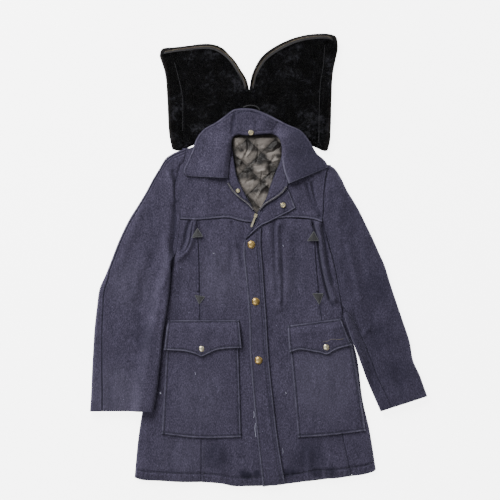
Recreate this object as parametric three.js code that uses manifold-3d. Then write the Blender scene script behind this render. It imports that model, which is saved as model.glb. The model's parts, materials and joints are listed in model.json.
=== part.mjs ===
// Hooded wool coat laid flat, face up, with its split hood spread open above the collar.
// Millimetres: X across the coat, Y from the hem to the hood, Z up from the surface it lies on.
// Left and right are the wearer's, so the right sleeve lies at negative X.
import * as THREE from 'three';
import { mergeVertices } from 'three/addons/utils/BufferGeometryUtils.js';
import Module from 'manifold-3d';

const wasm = await Module();
wasm.setup();

// Cloth thicknesses and the gaps that keep neighbours apart
const SEAM_GAP = 0.3;
const YOKE_LIFT = 0.9;
const LAY_GAP = 0.5;
const BACK_WALL = 3;
const FRONT_WALL = 6;
const SLEEVE_WALL = 6.5;
const FACING_WALL = 4;
const POCKET_WALL = 4;
const FLAP_WALL = 4;
const PLACKET_WALL = 4.5;
const LAPEL_WALL = 4.5;
const COLLAR_WALL = 4;
const STAND_WALL = 3;
const ZIP_WALL = 2.4;
const WELT_WALL = 2.5;

// Heights of the layers above the surface
const LINING_LOW = BACK_WALL + 0.4;
const LINING_BASE = 6.3;
const QUILT_PUFF = 3;
const FRONT_TOP = 16;
const SIDE_DROP = 6.3;
const SIDE_REACH = 15;
const HEM_DROP = 6;
const HEM_REACH = 30;
const SLEEVE_HEIGHT = 16;
const SLEEVE_CLIMB = 17.6;
const CLIMB_REACH = 21;
const HOOD_PILE_TOP = 12.4;
const COLLAR_BACK_LOW = 14.4;

// Hardware
const CAP_RADIUS = 9.75;
const FLAP_CAP_RADIUS = 7.5;
const RING_RADIUS = 7;
const QUILT_SQUARE = 50;
const QUILT_CROSSING = [6, 270.8];
const SLIDER_AT = [-8.4, 113.6];
const PULL_TOWARDS = [-20, 83];
const PIVOT_HEIGHT = 21.1;
const PULL_LENGTH = 28;

// Moves the drawing so that the origin is the centre of its outline
const ORIGIN_SHIFT = [1, -0.43];

// Outline of the body, each list of [x, y] from the hem up
const RIGHT_SIDE = [
  [-311, -540], [-302, -445], [-287, -347], [-269, -227], [-252, -142], [-243, -95],
  [-235, -66], [-226, -42], [-219, -20], [-213, 0], [-207, 20],
];
const RIGHT_ARMHOLE_LOW = [[-207, 20], [-200, 65], [-196, 104]];
const RIGHT_ARMHOLE_HIGH = [[-196, 104], [-198, 140], [-202, 175], [-192, 213], [-186, 252], [-180, 279]];
const LEFT_SIDE = [[292, -520], [276, -422], [259, -347], [242, -227], [212, -142], [207, -122]];
const LEFT_ARMHOLE_LOW = [[207, -122], [202, -90], [189, -17], [171, 48], [158, 96]];
const LEFT_ARMHOLE_HIGH = [[158, 96], [160, 125], [162, 173], [167, 214], [172, 237]];
const RIGHT_PANEL_SEAM = [
  [-144, -552], [-144, -442], [-145, -347], [-146, -227], [-147, -142], [-148, -90],
  [-150, -17], [-152, 50], [-155, 102],
];
const LEFT_PANEL_SEAM = [
  [231, -537], [209, -437], [193, -347], [172, -227], [156, -142], [149, -90],
  [143, -17], [138, 50], [132, 104],
];
const FRONT_MIDDLE = [
  [39, -561], [22, -447], [11, -347], [0.5, -227], [-3.5, -142], [-7, -90],
  [-13, -17], [-16, 50], [-11, 96],
];
const PLACKET_RIGHT_EDGE = [
  [9, -563], [-4, -447], [-14, -347], [-23, -227], [-25, -150], [-29, -90],
  [-36, -17], [-39, 10], [-39, 30], [-38, 47],
];
const PLACKET_LEFT_EDGE = [
  [66, -556], [48, -447], [36, -347], [24, -227], [19, -142], [15, -90],
  [10, -17], [6, 30], [5, 55], [6, 83],
];
const HEM_RIGHT_SIDE = [[-311, -540], [-294, -546], [-246, -549], [-198, -552], [-144, -552]];
const HEM_RIGHT_CENTRE = [[-144, -552], [-93, -556], [-64, -562], [-22, -562], [39, -561]];
const HEM_LEFT_CENTRE = [[39, -561], [66, -557], [109, -551], [138, -544], [187, -543], [231, -537]];
const HEM_LEFT_SIDE = [[231, -537], [261, -533], [287, -525], [292, -520]];
const YOKE_SEAM_RIGHT_SIDE = [[-196, 104], [-155, 102]];
const YOKE_SEAM_RIGHT_CENTRE = [[-155, 102], [-76, 107], [-52, 101], [-25, 96], [-11, 96]];
const YOKE_SEAM_LEFT_CENTRE = [[-11, 96], [6, 90], [50, 106], [132, 104]];
const YOKE_SEAM_LEFT_SIDE = [[132, 104], [158, 96]];
const RIGHT_ROLL = [
  [-11, 96], [-9, 120], [-13, 129], [-30, 159], [-37, 172], [-53, 207], [-63, 257], [-70, 298], [-77, 317],
];
const LEFT_ROLL = [
  [-11, 96], [-4, 120], [5, 134], [19, 160], [28, 188], [42, 224], [55, 257], [57, 298], [60, 317],
];
const RIGHT_SHOULDER = [[-180, 279], [-77, 317]];
const LEFT_SHOULDER = [[60, 317], [172, 237]];
const NECK_SEAM = [[-77, 317], [-8, 318.5], [60, 317]];

// Largest folds: [ridge line, height, half width]
const BODY_FOLDS = [
  { line: [[-160, 98], [-166, 76], [-170, 50], [-180, 26], [-198, 8]], height: 5, width: 9 },
  { line: [[147, 92], [155, 40], [162, -12], [176, -62], [188, -95]], height: 6, width: 9 },
  { line: [[50, 92], [50, 20], [51, -60], [51, -118]], height: 3, width: 10 },
  { line: [[128, 190], [145, 150], [154, 118]], height: 4, width: 9 },
  { line: [[-58, 88], [-58, 46]], height: 1.6, width: 10 },
  { line: [[121, -478], [124, -520]], height: 2.4, width: 10 },
  { line: [[-224, 215], [-214, 180], [-210, 150]], height: 3, width: 8 },
  { line: [[-232, 60], [-228, 0], [-238, -60]], height: 3, width: 9 },
  { line: [[-262, 40], [-300, -30], [-312, -90]], height: 3, width: 13 },
  { line: [[-266, -180], [-300, -205], [-350, -200]], height: 2.5, width: 11 },
  { line: [[222, 20], [240, -40], [250, -95]], height: 3, width: 12 },
  { line: [[258, -176], [300, -168], [336, -180]], height: 3.5, width: 9 },
  { line: [[272, -222], [310, -208], [350, -214]], height: 3.5, width: 9 },
  { line: [[296, -262], [330, -244], [368, -242]], height: 3, width: 9 },
];

// Sleeves: a row per section, [outer x, outer y, inner x, inner y, width share of the seam]
const RIGHT_SLEEVE = [
  [-183, 281, -187, 254, 0], [-202, 274, -193, 213, 0], [-221, 265, -203, 175, 0], [-234, 255, -199, 140, 0],
  [-248, 232, -197, 102, 0], [-265, 204, -201, 65, 0], [-282, 172, -208.5, 20, 0], [-302, 139, -218, -2, 0],
  [-325, 102, -219, -27, 0], [-349, 52, -221, -60, 0], [-367, 6, -225, -97, 0], [-384, -37, -230, -132, 0.06],
  [-398, -69, -236, -167, 0.08], [-405, -117, -241, -202, 0.1], [-411, -172, -244, -242, 0.12],
  [-414, -222, -248, -277, 0.14], [-417, -277, -252, -312, 0.16], [-419, -327, -257, -345, 0.18],
  [-422, -375, -263, -374, 0.2],
];
const RIGHT_OPEN_TO = 6;
const LEFT_SLEEVE = [
  [178, 238, 170, 213, 0], [189, 231, 166, 197, 0], [205, 207, 162, 165, 0], [220, 176, 161, 130, 0],
  [236, 150, 160, 95, 0], [252, 122, 172, 50, 0], [267, 91, 184, 6, 0], [284, 56, 193, -34, 0],
  [299, 22, 199, -72, 0], [313, -9, 206, -110, 0], [328, -57, 216, -150, 0.13], [344, -105, 228, -187, 0.17],
  [360, -152, 242, -225, 0.2], [376, -201, 255, -260, 0.21], [385, -249, 268, -295, 0.22],
  [401, -284, 281, -325, 0.23], [411, -312, 292, -350, 0.24], [420, -337, 303, -375, 0.25],
];
const LEFT_OPEN_TO = 9;
const LEFT_UNDER_FROM = 9.55;
const LEAST_SEAM_INSET = 6.5;
const CLIMB_SECTIONS = [7.5, 8.5, 9.5];
const CLIMB_COLUMNS = [[14, 0.36], [20, 0.42], [28, 0.48], [42, 0.56]];

// Collar: a row per section, [neck edge x, y, free edge x, y]
const COLLAR = [
  [-77, 205, -181, 211], [-75, 222, -189, 222], [-74, 240, -177, 252], [-71, 262, -165, 280],
  [-69, 285, -157, 303], [-68, 298, -139, 327], [-65, 307, -109, 345], [-58, 313, -85, 362],
  [-46, 315, -64, 377], [-28, 316, -40, 381], [-8, 317, -10, 378], [12, 318, 19, 367],
  [30, 317, 45, 354], [44, 311, 72, 340], [52, 300, 104, 325], [56, 284, 124, 302],
  [56, 262, 144, 268], [57, 244, 158, 256], [61, 224, 164, 250], [67, 207, 170, 241], [73, 191, 172, 233],
];
const COLLAR_BACK_ROWS = [6.6, 12.4];

// Hood lobes, each by its four edges
const HOOD_RIGHT = {
  left: [[-216, 285], [-219, 299], [-223, 327], [-227, 411], [-232, 468], [-246, 512]],
  right: [[-24.65, 317.9], [-24.65, 430]],
  bottom: [[-216, 285], [-202, 281], [-187, 285], [-162, 296], [-122, 309], [-77, 321], [-24.65, 317.9]],
  top: [
    [-246, 512], [-240, 527], [-208, 532], [-174, 536], [-144, 540], [-114, 539], [-91, 529],
    [-76, 518], [-61, 502], [-45, 477], [-31, 454], [-24.65, 430],
  ],
};
const HOOD_LEFT = {
  left: [[-24.35, 317.9], [-24.35, 430]],
  right: [[170, 280], [175, 300], [177, 335], [179, 411], [182, 468], [194, 526]],
  bottom: [[-24.35, 317.9], [60, 321], [102, 304], [146, 285], [164, 279], [170, 280]],
  top: [
    [-24.35, 430], [-20, 452], [-16, 468], [7, 507], [41, 533], [91, 556], [137, 565], [175, 565],
    [189, 559], [194, 542], [194, 526],
  ],
};

const COLOURS = {
  wool: { color: 0x42424f, roughness: 0.95, metalness: 0 },
  lining: { color: 0x57504a, roughness: 0.45, metalness: 0 },
  pile: { color: 0x17171c, roughness: 1, metalness: 0 },
  cord: { color: 0x1c1c22, roughness: 0.9, metalness: 0 },
  thread: { color: 0x4e504a, roughness: 0.8, metalness: 0 },
  brass: { color: 0xc8a55a, roughness: 0.25, metalness: 1 },
  nickel: { color: 0x96919a, roughness: 0.35, metalness: 1 },
};

const coat = new THREE.Group();

// Small maths
function clamp01(value) {
  return Math.min(1, Math.max(0, value));
}

function smooth(low, high, value) {
  const k = clamp01((value - low) / (high - low));
  return k * k * (3 - 2 * k);
}

function mix(a, b, k) {
  return a + (b - a) * k;
}

function spread(count) {
  return Array.from({ length: count }, (_, i) => i / (count - 1));
}

function curveThrough(points) {
  return new THREE.CatmullRomCurve3(points.map(([x, y]) => new THREE.Vector3(x, y, 0)), false, 'centripetal');
}

// x of an edge at a height y, straight between its points
function edgeAt(points, y) {
  const ends = points.slice(1).findIndex((point) => y <= point[1]);
  const i = ends < 0 ? points.length - 2 : ends;
  const [[x0, y0], [x1, y1]] = [points[i], points[i + 1]];
  return mix(x0, x1, clamp01((y - y0) / (y1 - y0)));
}

// Surface between two edges that run the same way
function ribbon(left, right) {
  const a = curveThrough(left);
  const b = curveThrough(right);
  return (s, t) => {
    const p = a.getPointAt(t).lerp(b.getPointAt(t), s);
    return [p.x, p.y];
  };
}

// Surface inside four edges
function inside({ left, right, bottom, top }) {
  const [l, r, b, u] = [left, right, bottom, top].map(curveThrough);
  const corner = [l.getPointAt(0), r.getPointAt(0), l.getPointAt(1), r.getPointAt(1)];
  return (s, t) => {
    const [pl, pr, pb, pu] = [l.getPointAt(t), r.getPointAt(t), b.getPointAt(s), u.getPointAt(s)];
    const at = (axis) => mix(pl[axis], pr[axis], s) + mix(pb[axis], pu[axis], t)
      - mix(mix(corner[0][axis], corner[1][axis], s), mix(corner[2][axis], corner[3][axis], s), t);
    return [at('x'), at('y')];
  };
}

// A closed body from raw triangles, its faces turned outward
function addSolid(name, kind, geometry) {
  const bare = new THREE.BufferGeometry();
  bare.setAttribute('position', new THREE.Float32BufferAttribute(geometry.getAttribute('position').array, 3));
  if (geometry.index) {
    bare.setIndex(Array.from(geometry.index.array));
  }
  const merged = mergeVertices(bare, 1e-3);
  const position = merged.getAttribute('position');
  const corners = [0, 1, 2].map(() => new THREE.Vector3());
  const kept = [];
  let volume = 0;
  for (let i = 0; i < merged.index.count; i += 3) {
    const ids = [0, 1, 2].map((k) => merged.index.getX(i + k));
    if (ids[0] !== ids[1] && ids[1] !== ids[2] && ids[2] !== ids[0]) {
      ids.forEach((id, k) => corners[k].fromBufferAttribute(position, id));
      volume += corners[0].dot(corners[1].clone().cross(corners[2]));
      kept.push(ids);
    }
  }
  merged.setIndex(kept.flatMap(([a, b, c]) => (volume < 0 ? [a, c, b] : [a, b, c])));
  merged.computeVertexNormals();
  const mesh = new THREE.Mesh(merged, new THREE.MeshStandardMaterial(COLOURS[kind]));
  mesh.name = name;
  coat.add(mesh);
  return mesh;
}

// A wall between two grids of points with the same rows and columns
function wallBetween(outer, inner) {
  const rows = outer.length;
  const columns = outer[0].length;
  const points = [...outer.flat(), ...inner.flat()];
  const half = rows * columns;
  const triangles = [];
  const quad = (a, b, c, d) => triangles.push(a, b, c, a, c, d);
  for (let i = 0; i < rows - 1; i += 1) {
    for (let j = 0; j < columns - 1; j += 1) {
      const k = i * columns + j;
      quad(k, k + 1, k + columns + 1, k + columns);
      quad(half + k, half + k + columns, half + k + columns + 1, half + k + 1);
    }
  }
  for (let j = 0; j < columns - 1; j += 1) {
    const k = (rows - 1) * columns + j;
    quad(half + j, half + j + 1, j + 1, j);
    quad(k, k + 1, half + k + 1, half + k);
  }
  for (let i = 0; i < rows - 1; i += 1) {
    const k = i * columns;
    const e = k + columns - 1;
    quad(half + k + columns, half + k, k, k + columns);
    quad(e + columns, e, half + e, half + e + columns);
  }
  const geometry = new THREE.BufferGeometry();
  geometry.setAttribute('position', new THREE.Float32BufferAttribute(points.flat(), 3));
  geometry.setIndex(triangles);
  return geometry;
}

// A cloth panel: its surface across and along, its top height and its thickness or lower height
function addPanel(name, kind, surface, across, along, top, low, inset = SEAM_GAP / 2) {
  const [x0, y0] = surface(0, 0.5);
  const [x1, y1] = surface(1, 0.5);
  const [x2, y2] = surface(0.5, 0);
  const [x3, y3] = surface(0.5, 1);
  const ds = inset / Math.hypot(x1 - x0, y1 - y0);
  const dt = inset / Math.hypot(x3 - x2, y3 - y2);
  const flat = along.map((t) => across.map((s) => [...surface(mix(ds, 1 - ds, s), mix(dt, 1 - dt, t)), s, t]));
  const outer = flat.map((row) => row.map(([x, y, s, t]) => [x, y, top(x, y, s, t)]));
  const under = typeof low === 'number' ? (x, y, s, t) => top(x, y, s, t) - low : low;
  const inner = flat.map((row) => row.map(([x, y, s, t]) => [x, y, under(x, y, s, t)]));
  return addSolid(name, kind, wallBetween(outer, inner));
}

// Distance from a point to a line of points
function distanceToLine(x, y, line) {
  let best = Infinity;
  for (let i = 0; i < line.length - 1; i += 1) {
    const [[ax, ay], [bx, by]] = [line[i], line[i + 1]];
    const k = clamp01(((x - ax) * (bx - ax) + (y - ay) * (by - ay)) / ((bx - ax) ** 2 + (by - ay) ** 2));
    best = Math.min(best, Math.hypot(x - mix(ax, bx, k), y - mix(ay, by, k)));
  }
  return best;
}

function foldHeight(x, y) {
  return BODY_FOLDS.reduce((sum, { line, height, width }) => (
    sum + height * Math.exp(-((distanceToLine(x, y, line) / width) ** 2))), 0);
}

// Upper face of the fronts and yokes, rounded down at the sides and the hem
function hemAt(x) {
  const hem = [...HEM_RIGHT_SIDE, ...HEM_RIGHT_CENTRE.slice(1), ...HEM_LEFT_CENTRE.slice(1), ...HEM_LEFT_SIDE.slice(1)];
  return edgeAt(hem.map(([px, py]) => [py, px]), x);
}

function fall(distance, reach) {
  return clamp01(1 - distance / reach) ** 2;
}

function sideDistance(x, y) {
  return { right: x - edgeAt(RIGHT_SIDE, y), left: edgeAt(LEFT_SIDE, y) - x };
}

function frontTop(x, y) {
  const { right, left } = sideDistance(x, y);
  const rightFall = fall(right, SIDE_REACH) * (1 - smooth(2, 20, y));
  const leftFall = fall(left, SIDE_REACH) * (1 - smooth(-140, -122, y));
  const hemFall = fall(y - hemAt(x), HEM_REACH) * HEM_DROP;
  return FRONT_TOP + foldHeight(x, y) - Math.max(SIDE_DROP * Math.max(rightFall, leftFall), hemFall);
}

// Height at which a piece lies clear on the surface below it
function restOn(surfaceTop, x, y, reach = 6, gap = LAY_GAP) {
  const steps = [[0, 0], [reach, 0], [-reach, 0], [0, reach], [0, -reach]];
  return Math.max(...steps.map(([dx, dy]) => surfaceTop(x + dx, y + dy))) + gap;
}

// Highest point below a small flat piece
function seatUnder(surfaceTop, points, gap = LAY_GAP, reach = 2) {
  return Math.max(...points.map(([x, y]) => restOn(surfaceTop, x, y, reach, gap)));
}

// Back and its lining
function buildBack() {
  const outline = {
    left: [...RIGHT_SIDE, ...RIGHT_ARMHOLE_LOW.slice(1), ...RIGHT_ARMHOLE_HIGH.slice(1)],
    right: [...LEFT_SIDE, ...LEFT_ARMHOLE_LOW.slice(1), ...LEFT_ARMHOLE_HIGH.slice(1)],
    bottom: [[-311, -540], [-246, -549], [-144, -552], [-22, -562], [66, -557], [187, -543], [292, -520]],
    top: [...RIGHT_SHOULDER, ...NECK_SEAM.slice(1), ...LEFT_SHOULDER.slice(1)],
  };
  addPanel('back', 'wool', inside(outline), spread(10), spread(19), () => BACK_WALL, () => 0, 1);
}

function quiltPuff(x, y) {
  const [cx, cy] = QUILT_CROSSING;
  const a = (x - cx + y - cy) / Math.SQRT2 / QUILT_SQUARE;
  const b = (x - cx - y + cy) / Math.SQRT2 / QUILT_SQUARE;
  return Math.sqrt(Math.abs(Math.sin(Math.PI * a) * Math.sin(Math.PI * b)));
}

function buildBackLining() {
  const edgeInset = 0.5;
  const outline = {
    left: [[-288, -508], [-272, -380], [-246, -230], [-222, -100], [-199, 15], [-189, 104], [-190, 175], [-172, 270]],
    right: [[266, -490], [240, -370], [220, -230], [190, -120], [180, -20], [151, 96], [155, 173], [163, 230]],
    bottom: [[-288, -508], [-144, -520], [39, -528], [150, -512], [266, -490]],
    top: [[-172, 270], [-77, 312], [-8, 313], [60, 312], [163, 230]],
  };
  const across = [0, 0.16, 0.27, ...spread(12).map((k) => mix(0.34, 0.71, k)), 0.79, 0.89, 1];
  const along = [0, 0.14, 0.28, 0.42, 0.56, 0.68, ...spread(17).map((k) => mix(0.745, 1, k))];
  const shown = (x, y) => smooth(80, 110, y) * smooth(-95, -75, x) * (1 - smooth(70, 90, x));
  const top = (x, y) => LINING_BASE + QUILT_PUFF * quiltPuff(x, y) * shown(x, y);
  addPanel('back_lining', 'lining', inside(outline), across, along, top, () => LINING_LOW, edgeInset);
}

// Fronts, each cut in a centre and a side panel below its yoke
function buildFronts() {
  const along = [0, 0.012, 0.03, 0.06, 0.12, 0.2, 0.3, 0.4, 0.5, 0.6, 0.66, 0.71, 0.76, 0.81, 0.86, 0.91, 0.955, 1];
  const armhole = spread(8).map((k) => mix(0.84, 1, k));
  const sideAlong = [...along.filter((t) => t < 0.84), ...armhole];
  const sideRows = [0, 0.03, 0.08, 0.2, 0.4, 0.6, 0.8, 1];
  const panels = [
    {
      name: 'front_side_right', left: [...RIGHT_SIDE, ...RIGHT_ARMHOLE_LOW.slice(1)], right: RIGHT_PANEL_SEAM,
      bottom: HEM_RIGHT_SIDE, top: YOKE_SEAM_RIGHT_SIDE, across: sideRows,
    },
    {
      name: 'front_centre_right', left: RIGHT_PANEL_SEAM, right: FRONT_MIDDLE,
      bottom: HEM_RIGHT_CENTRE, top: YOKE_SEAM_RIGHT_CENTRE, across: spread(7),
    },
    {
      name: 'front_centre_left', left: FRONT_MIDDLE, right: LEFT_PANEL_SEAM,
      bottom: HEM_LEFT_CENTRE, top: YOKE_SEAM_LEFT_CENTRE, across: spread(9),
    },
    {
      name: 'front_side_left', left: LEFT_PANEL_SEAM, right: [...LEFT_SIDE, ...LEFT_ARMHOLE_LOW.slice(1)],
      bottom: HEM_LEFT_SIDE, top: YOKE_SEAM_LEFT_SIDE, across: sideRows.map((s) => 1 - s).reverse(),
    },
  ];
  panels.forEach((panel) => {
    addPanel(panel.name, 'wool', inside(panel), panel.across, sideAlong, frontTop, FRONT_WALL);
  });
  const lifted = (seam) => seam.map(([x, y]) => [x, y + YOKE_LIFT]);
  const right = {
    left: RIGHT_ARMHOLE_HIGH, right: RIGHT_ROLL,
    bottom: lifted([...YOKE_SEAM_RIGHT_SIDE, ...YOKE_SEAM_RIGHT_CENTRE.slice(1)]), top: RIGHT_SHOULDER,
  };
  const left = {
    left: LEFT_ROLL, right: LEFT_ARMHOLE_HIGH,
    bottom: lifted([...YOKE_SEAM_LEFT_CENTRE, ...YOKE_SEAM_LEFT_SIDE.slice(1)]), top: LEFT_SHOULDER,
  };
  addPanel('yoke_right', 'wool', inside(right), spread(10), spread(9), frontTop, FRONT_WALL, 0.3);
  addPanel('yoke_left', 'wool', inside(left), spread(10), spread(9), frontTop, FRONT_WALL, 0.3);
}

// Fly placket, its turned-back top and the facings with their zip tapes
function buildClosure() {
  const onFront = (x, y) => restOn(frontTop, x, y);
  const rows = [0, 0.012, 0.03, 0.06, ...spread(12).map((k) => mix(0.12, 1, k))];
  addPanel('placket', 'wool', ribbon(PLACKET_RIGHT_EDGE, PLACKET_LEFT_EDGE), spread(4), rows,
    (x, y) => onFront(x, y) + PLACKET_WALL, onFront);
  const lapelZipSide = [[-35, 57], [-19.5, 79], [-8, 96], [-0.5, 113], [5, 124], [20, 138], [42, 152], [60, 165], [73, 179]];
  const lapelFreeSide = [[-33, 53], [-20, 66], [-8, 77], [6, 87.5], [24, 96], [40, 104], [56, 112], [72, 120], [92, 131]];
  addPanel('fly_lapel', 'wool', ribbon(lapelFreeSide, lapelZipSide), spread(4), spread(10),
    (x, y) => onFront(x, y) + LAPEL_WALL, onFront);
  const facings = [
    {
      side: 'right', flip: 1,
      roll: [[-12, 123.5], [-18, 135], [-30, 157], [-38, 173], [-54, 207], [-60, 235], [-64, 262]],
      zip: [[-15, 126], [-31, 143], [-49, 156], [-67, 173], [-80, 192], [-86, 226], [-88, 258]],
    },
    {
      side: 'left', flip: -1,
      roll: [[1, 124.5], [9, 139], [20, 160], [29, 188], [43, 224], [51, 243], [55.5, 262]],
      zip: [[3, 127], [17, 141], [40, 155], [58, 168], [71, 183], [75, 205], [77, 256]],
    },
  ];
  facings.forEach(({ side, flip, roll, zip }) => {
    const surface = flip > 0 ? ribbon(zip, roll) : ribbon(roll, zip);
    const top = (x, y) => onFront(x, y) + FACING_WALL;
    addPanel(`facing_${side}`, 'wool', surface, spread(4), spread(11), top, onFront, 0.3);
    const outerLine = zip.slice(0, 5).map(([x, y]) => [x + flip * 0.4, y + 0.4]);
    const innerLine = outerLine.map(([x, y], i) => [x + flip * mix(1.6, 3.4, i / 4), y + mix(2, 4, i / 4)]);
    const chain = flip > 0 ? ribbon(outerLine, innerLine) : ribbon(innerLine, outerLine);
    const onFacing = (x, y) => onFront(x, y) + FACING_WALL + LAY_GAP;
    addPanel(`zip_${side}`, 'nickel', chain, [0, 1], spread(9), (x, y) => onFacing(x, y) + ZIP_WALL, onFacing);
  });
}

// Patch pockets, flaps and the welts in the panel seams
const POCKET_RIGHT = {
  left: [[-243, -431], [-229, -174]], right: [[-44, -439], [-48, -300], [-52, -174]],
  bottom: [[-243, -431], [-150, -441], [-44, -439]], top: [[-229, -174], [-52, -174]],
};
const POCKET_LEFT = {
  left: [[96, -440], [86, -320], [73, -186]], right: [[266, -423], [235, -225], [224, -188]],
  bottom: [[96, -440], [180, -434], [266, -423]], top: [[73, -186], [224, -188]],
};
const FLAP_RIGHT = {
  left: [[-237, -222], [-228, -146]], right: [[-42, -217], [-49, -146]],
  bottom: [[-237, -222], [-214, -223], [-185, -225], [-158, -232], [-143, -238], [-127, -231], [-106, -222],
    [-79, -218], [-42, -217]],
  top: [[-228, -146], [-49, -146]],
};
const FLAP_LEFT = {
  left: [[75, -228], [72, -196], [70, -160]], right: [[231, -210], [221, -186], [204, -142]],
  bottom: [[75, -228], [101, -221], [136, -226], [153, -229], [169, -233], [182, -226], [199, -218], [231, -210]],
  top: [[70, -160], [130, -152], [204, -142]],
};
const FLAP_RISE = 24;

function flapRest(x, y) {
  const sewnEdge = x < 0 ? -146 : mix(-160, -142, (x - 70) / 134);
  const lift = (POCKET_WALL + LAY_GAP) * smooth(0, FLAP_RISE, sewnEdge - y);
  return restOn(frontTop, x, y, 6) + lift + 0.2;
}

function buildPockets() {
  const lay = (x, y) => restOn(frontTop, x, y);
  const pieces = [['right', POCKET_RIGHT, FLAP_RIGHT], ['left', POCKET_LEFT, FLAP_LEFT]];
  pieces.forEach(([side, pocket, flap]) => {
    addPanel(`pocket_${side}`, 'wool', inside(pocket), spread(8), spread(7), (x, y) => lay(x, y) + POCKET_WALL, lay);
    addPanel(`flap_${side}`, 'wool', inside(flap), spread(15), spread(6), (x, y) => flapRest(x, y) + FLAP_WALL, flapRest);
  });
  const welts = [
    ['welt_right', [[-159, 46], [-157, -15], [-156, -76]], [[-151, 46], [-149, -15], [-148, -76]]],
    ['welt_left', [[131.5, 43], [135.5, -15], [141.5, -76]], [[139, 43], [143, -15], [149, -76]]],
  ];
  welts.forEach(([name, left, right]) => {
    addPanel(name, 'wool', ribbon([...left].reverse(), [...right].reverse()), [0, 0.5, 1], spread(7),
      (x, y) => lay(x, y) + WELT_WALL, lay);
  });
}

// Sleeves: a flat tube, open at the armhole and the cuff, cut in a top and an under panel.
// Along the loop p runs 0 to 1 from the inner to the outer fold on top, and 1 to 2 back below.
function sleeveRest(x, y) {
  const { right, left } = sideDistance(x, y);
  const inward = x < 0 ? right : left;
  return SLEEVE_CLIMB * smooth(-CLIMB_REACH, -1, inward);
}

function sleevePoint(table, openTo, q, p, innerFace) {
  const outerCurve = new THREE.CatmullRomCurve3(table.map((row) => new THREE.Vector3(row[0], row[1], 0)));
  const innerCurve = new THREE.CatmullRomCurve3(table.map((row) => new THREE.Vector3(row[2], row[3], 0)));
  const k = q / (table.length - 1);
  const outer = outerCurve.getPoint(k);
  const inner = innerCurve.getPoint(k);
  const onTop = p >= 0 && p <= 1;
  const share = onTop ? p : Math.abs(p < 0 ? p : 2 - p);
  const width = outer.distanceTo(inner);
  const radius = SLEEVE_HEIGHT / 2;
  const open = 1 - smooth(openTo, openTo + 1, q);
  const round = (distance) => Math.sqrt(1 - clamp01(1 - distance / radius) ** 2);
  const toOuter = (1 - share) * width;
  const toInner = share * width;
  const full = Math.min(round(toOuter), mix(round(toInner), 1, open));
  const half = (innerFace ? radius - SLEEVE_WALL : radius) * full;
  const inset = (distance) => (
    distance < radius ? mix(SLEEVE_WALL, radius, distance / radius) - distance : 0);
  const shift = innerFace ? inset(toInner) * (1 - open) - inset(toOuter) : 0;
  const at = inner.clone().lerp(outer, share + shift / width);
  const rest = sleeveRest(at.x, at.y) * (1 - open);
  const fold = onTop ? foldHeight(at.x, at.y) * smooth(0, 14, toOuter) * mix(smooth(0, 14, toInner), 1, open) : 0;
  const lift = Math.max(half, SEAM_GAP / 2) * (onTop ? 1 : -1);
  return [at.x, at.y, rest + radius + lift + fold];
}

function sleeveWidth(table, q) {
  const i = Math.min(table.length - 2, Math.floor(q));
  const width = (row) => Math.hypot(row[0] - row[2], row[1] - row[3]);
  return mix(width(table[i]), width(table[i + 1]), q - i);
}

function seamShare(table, q) {
  const i = Math.min(table.length - 2, Math.floor(q));
  return mix(table[i][4], table[i + 1][4], q - i);
}

function addSleevePiece(name, table, openTo, sections, columnsAt) {
  const grid = (innerFace) => sections.map((q) => (
    columnsAt(q).map((p) => sleevePoint(table, openTo, q, p, innerFace))));
  addSolid(name, 'wool', wallBetween(grid(false), grid(true)));
}

function between(from, to, count) {
  return spread(count + 2).slice(1, -1).map((k) => mix(from, to, k));
}

function buildRightSleeve() {
  const table = RIGHT_SLEEVE;
  const sections = [...table.map((_, i) => i), ...CLIMB_SECTIONS].sort((a, b) => a - b);
  const parts = (q) => {
    const width = sleeveWidth(table, q);
    const bend = SLEEVE_HEIGHT / 2 / width;
    const seam = 1 - Math.max(seamShare(table, q), LEAST_SEAM_INSET / width);
    const climb = CLIMB_COLUMNS.map(([reach, share]) => Math.min(reach / width, share));
    return { bend, seam, climb, gap: SEAM_GAP / 2 / width };
  };
  addSleevePiece('sleeve_right_top', table, RIGHT_OPEN_TO, sections, (q) => {
    const { bend, seam, climb, gap } = parts(q);
    return [0, 0.15 * bend, 0.5 * bend, bend, ...climb, ...between(climb.at(-1), seam, 1), seam - gap];
  });
  addSleevePiece('sleeve_right_under', table, RIGHT_OPEN_TO, sections, (q) => {
    const { bend, seam, climb, gap } = parts(q);
    return [
      seam + gap, 1 - 0.5 * bend, 1 - 0.15 * bend, 1, 1 + 0.15 * bend, 1 + 0.5 * bend, 1 + bend,
      ...between(1 + bend, 2 - climb.at(-1), 1), ...climb.map((share) => 2 - share).reverse(),
      2 - bend, 2 - 0.5 * bend, 2 - 0.15 * bend, 2 - 1e-6,
    ];
  });
}

function buildLeftSleeve() {
  const table = LEFT_SLEEVE;
  const parts = (q) => {
    const width = sleeveWidth(table, q);
    return { bend: SLEEVE_HEIGHT / 2 / width, seam: seamShare(table, q), gap: SEAM_GAP / 2 / width };
  };
  addSleevePiece('sleeve_left_top', table, LEFT_OPEN_TO, table.map((_, i) => i), (q) => {
    const { bend, seam, gap } = parts(q);
    return [
      seam + gap, ...between(seam, 1 - bend, 3), 1 - bend, 1 - 0.5 * bend, 1 - 0.15 * bend, 1,
      1 + 0.15 * bend, 1 + 0.5 * bend, 1 + bend, ...between(1 + bend, 2 - seam, 2), 2 - seam - gap,
    ];
  });
  const sections = [LEFT_UNDER_FROM, ...table.map((_, i) => i).filter((i) => i > LEFT_UNDER_FROM)];
  addSleevePiece('sleeve_left_under', table, LEFT_OPEN_TO, sections, (q) => {
    const { bend, seam, gap } = parts(q);
    return [-seam + gap, -bend, -0.5 * bend, -0.15 * bend, 0, 0.15 * bend, 0.5 * bend, bend, seam - gap];
  });
}

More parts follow.
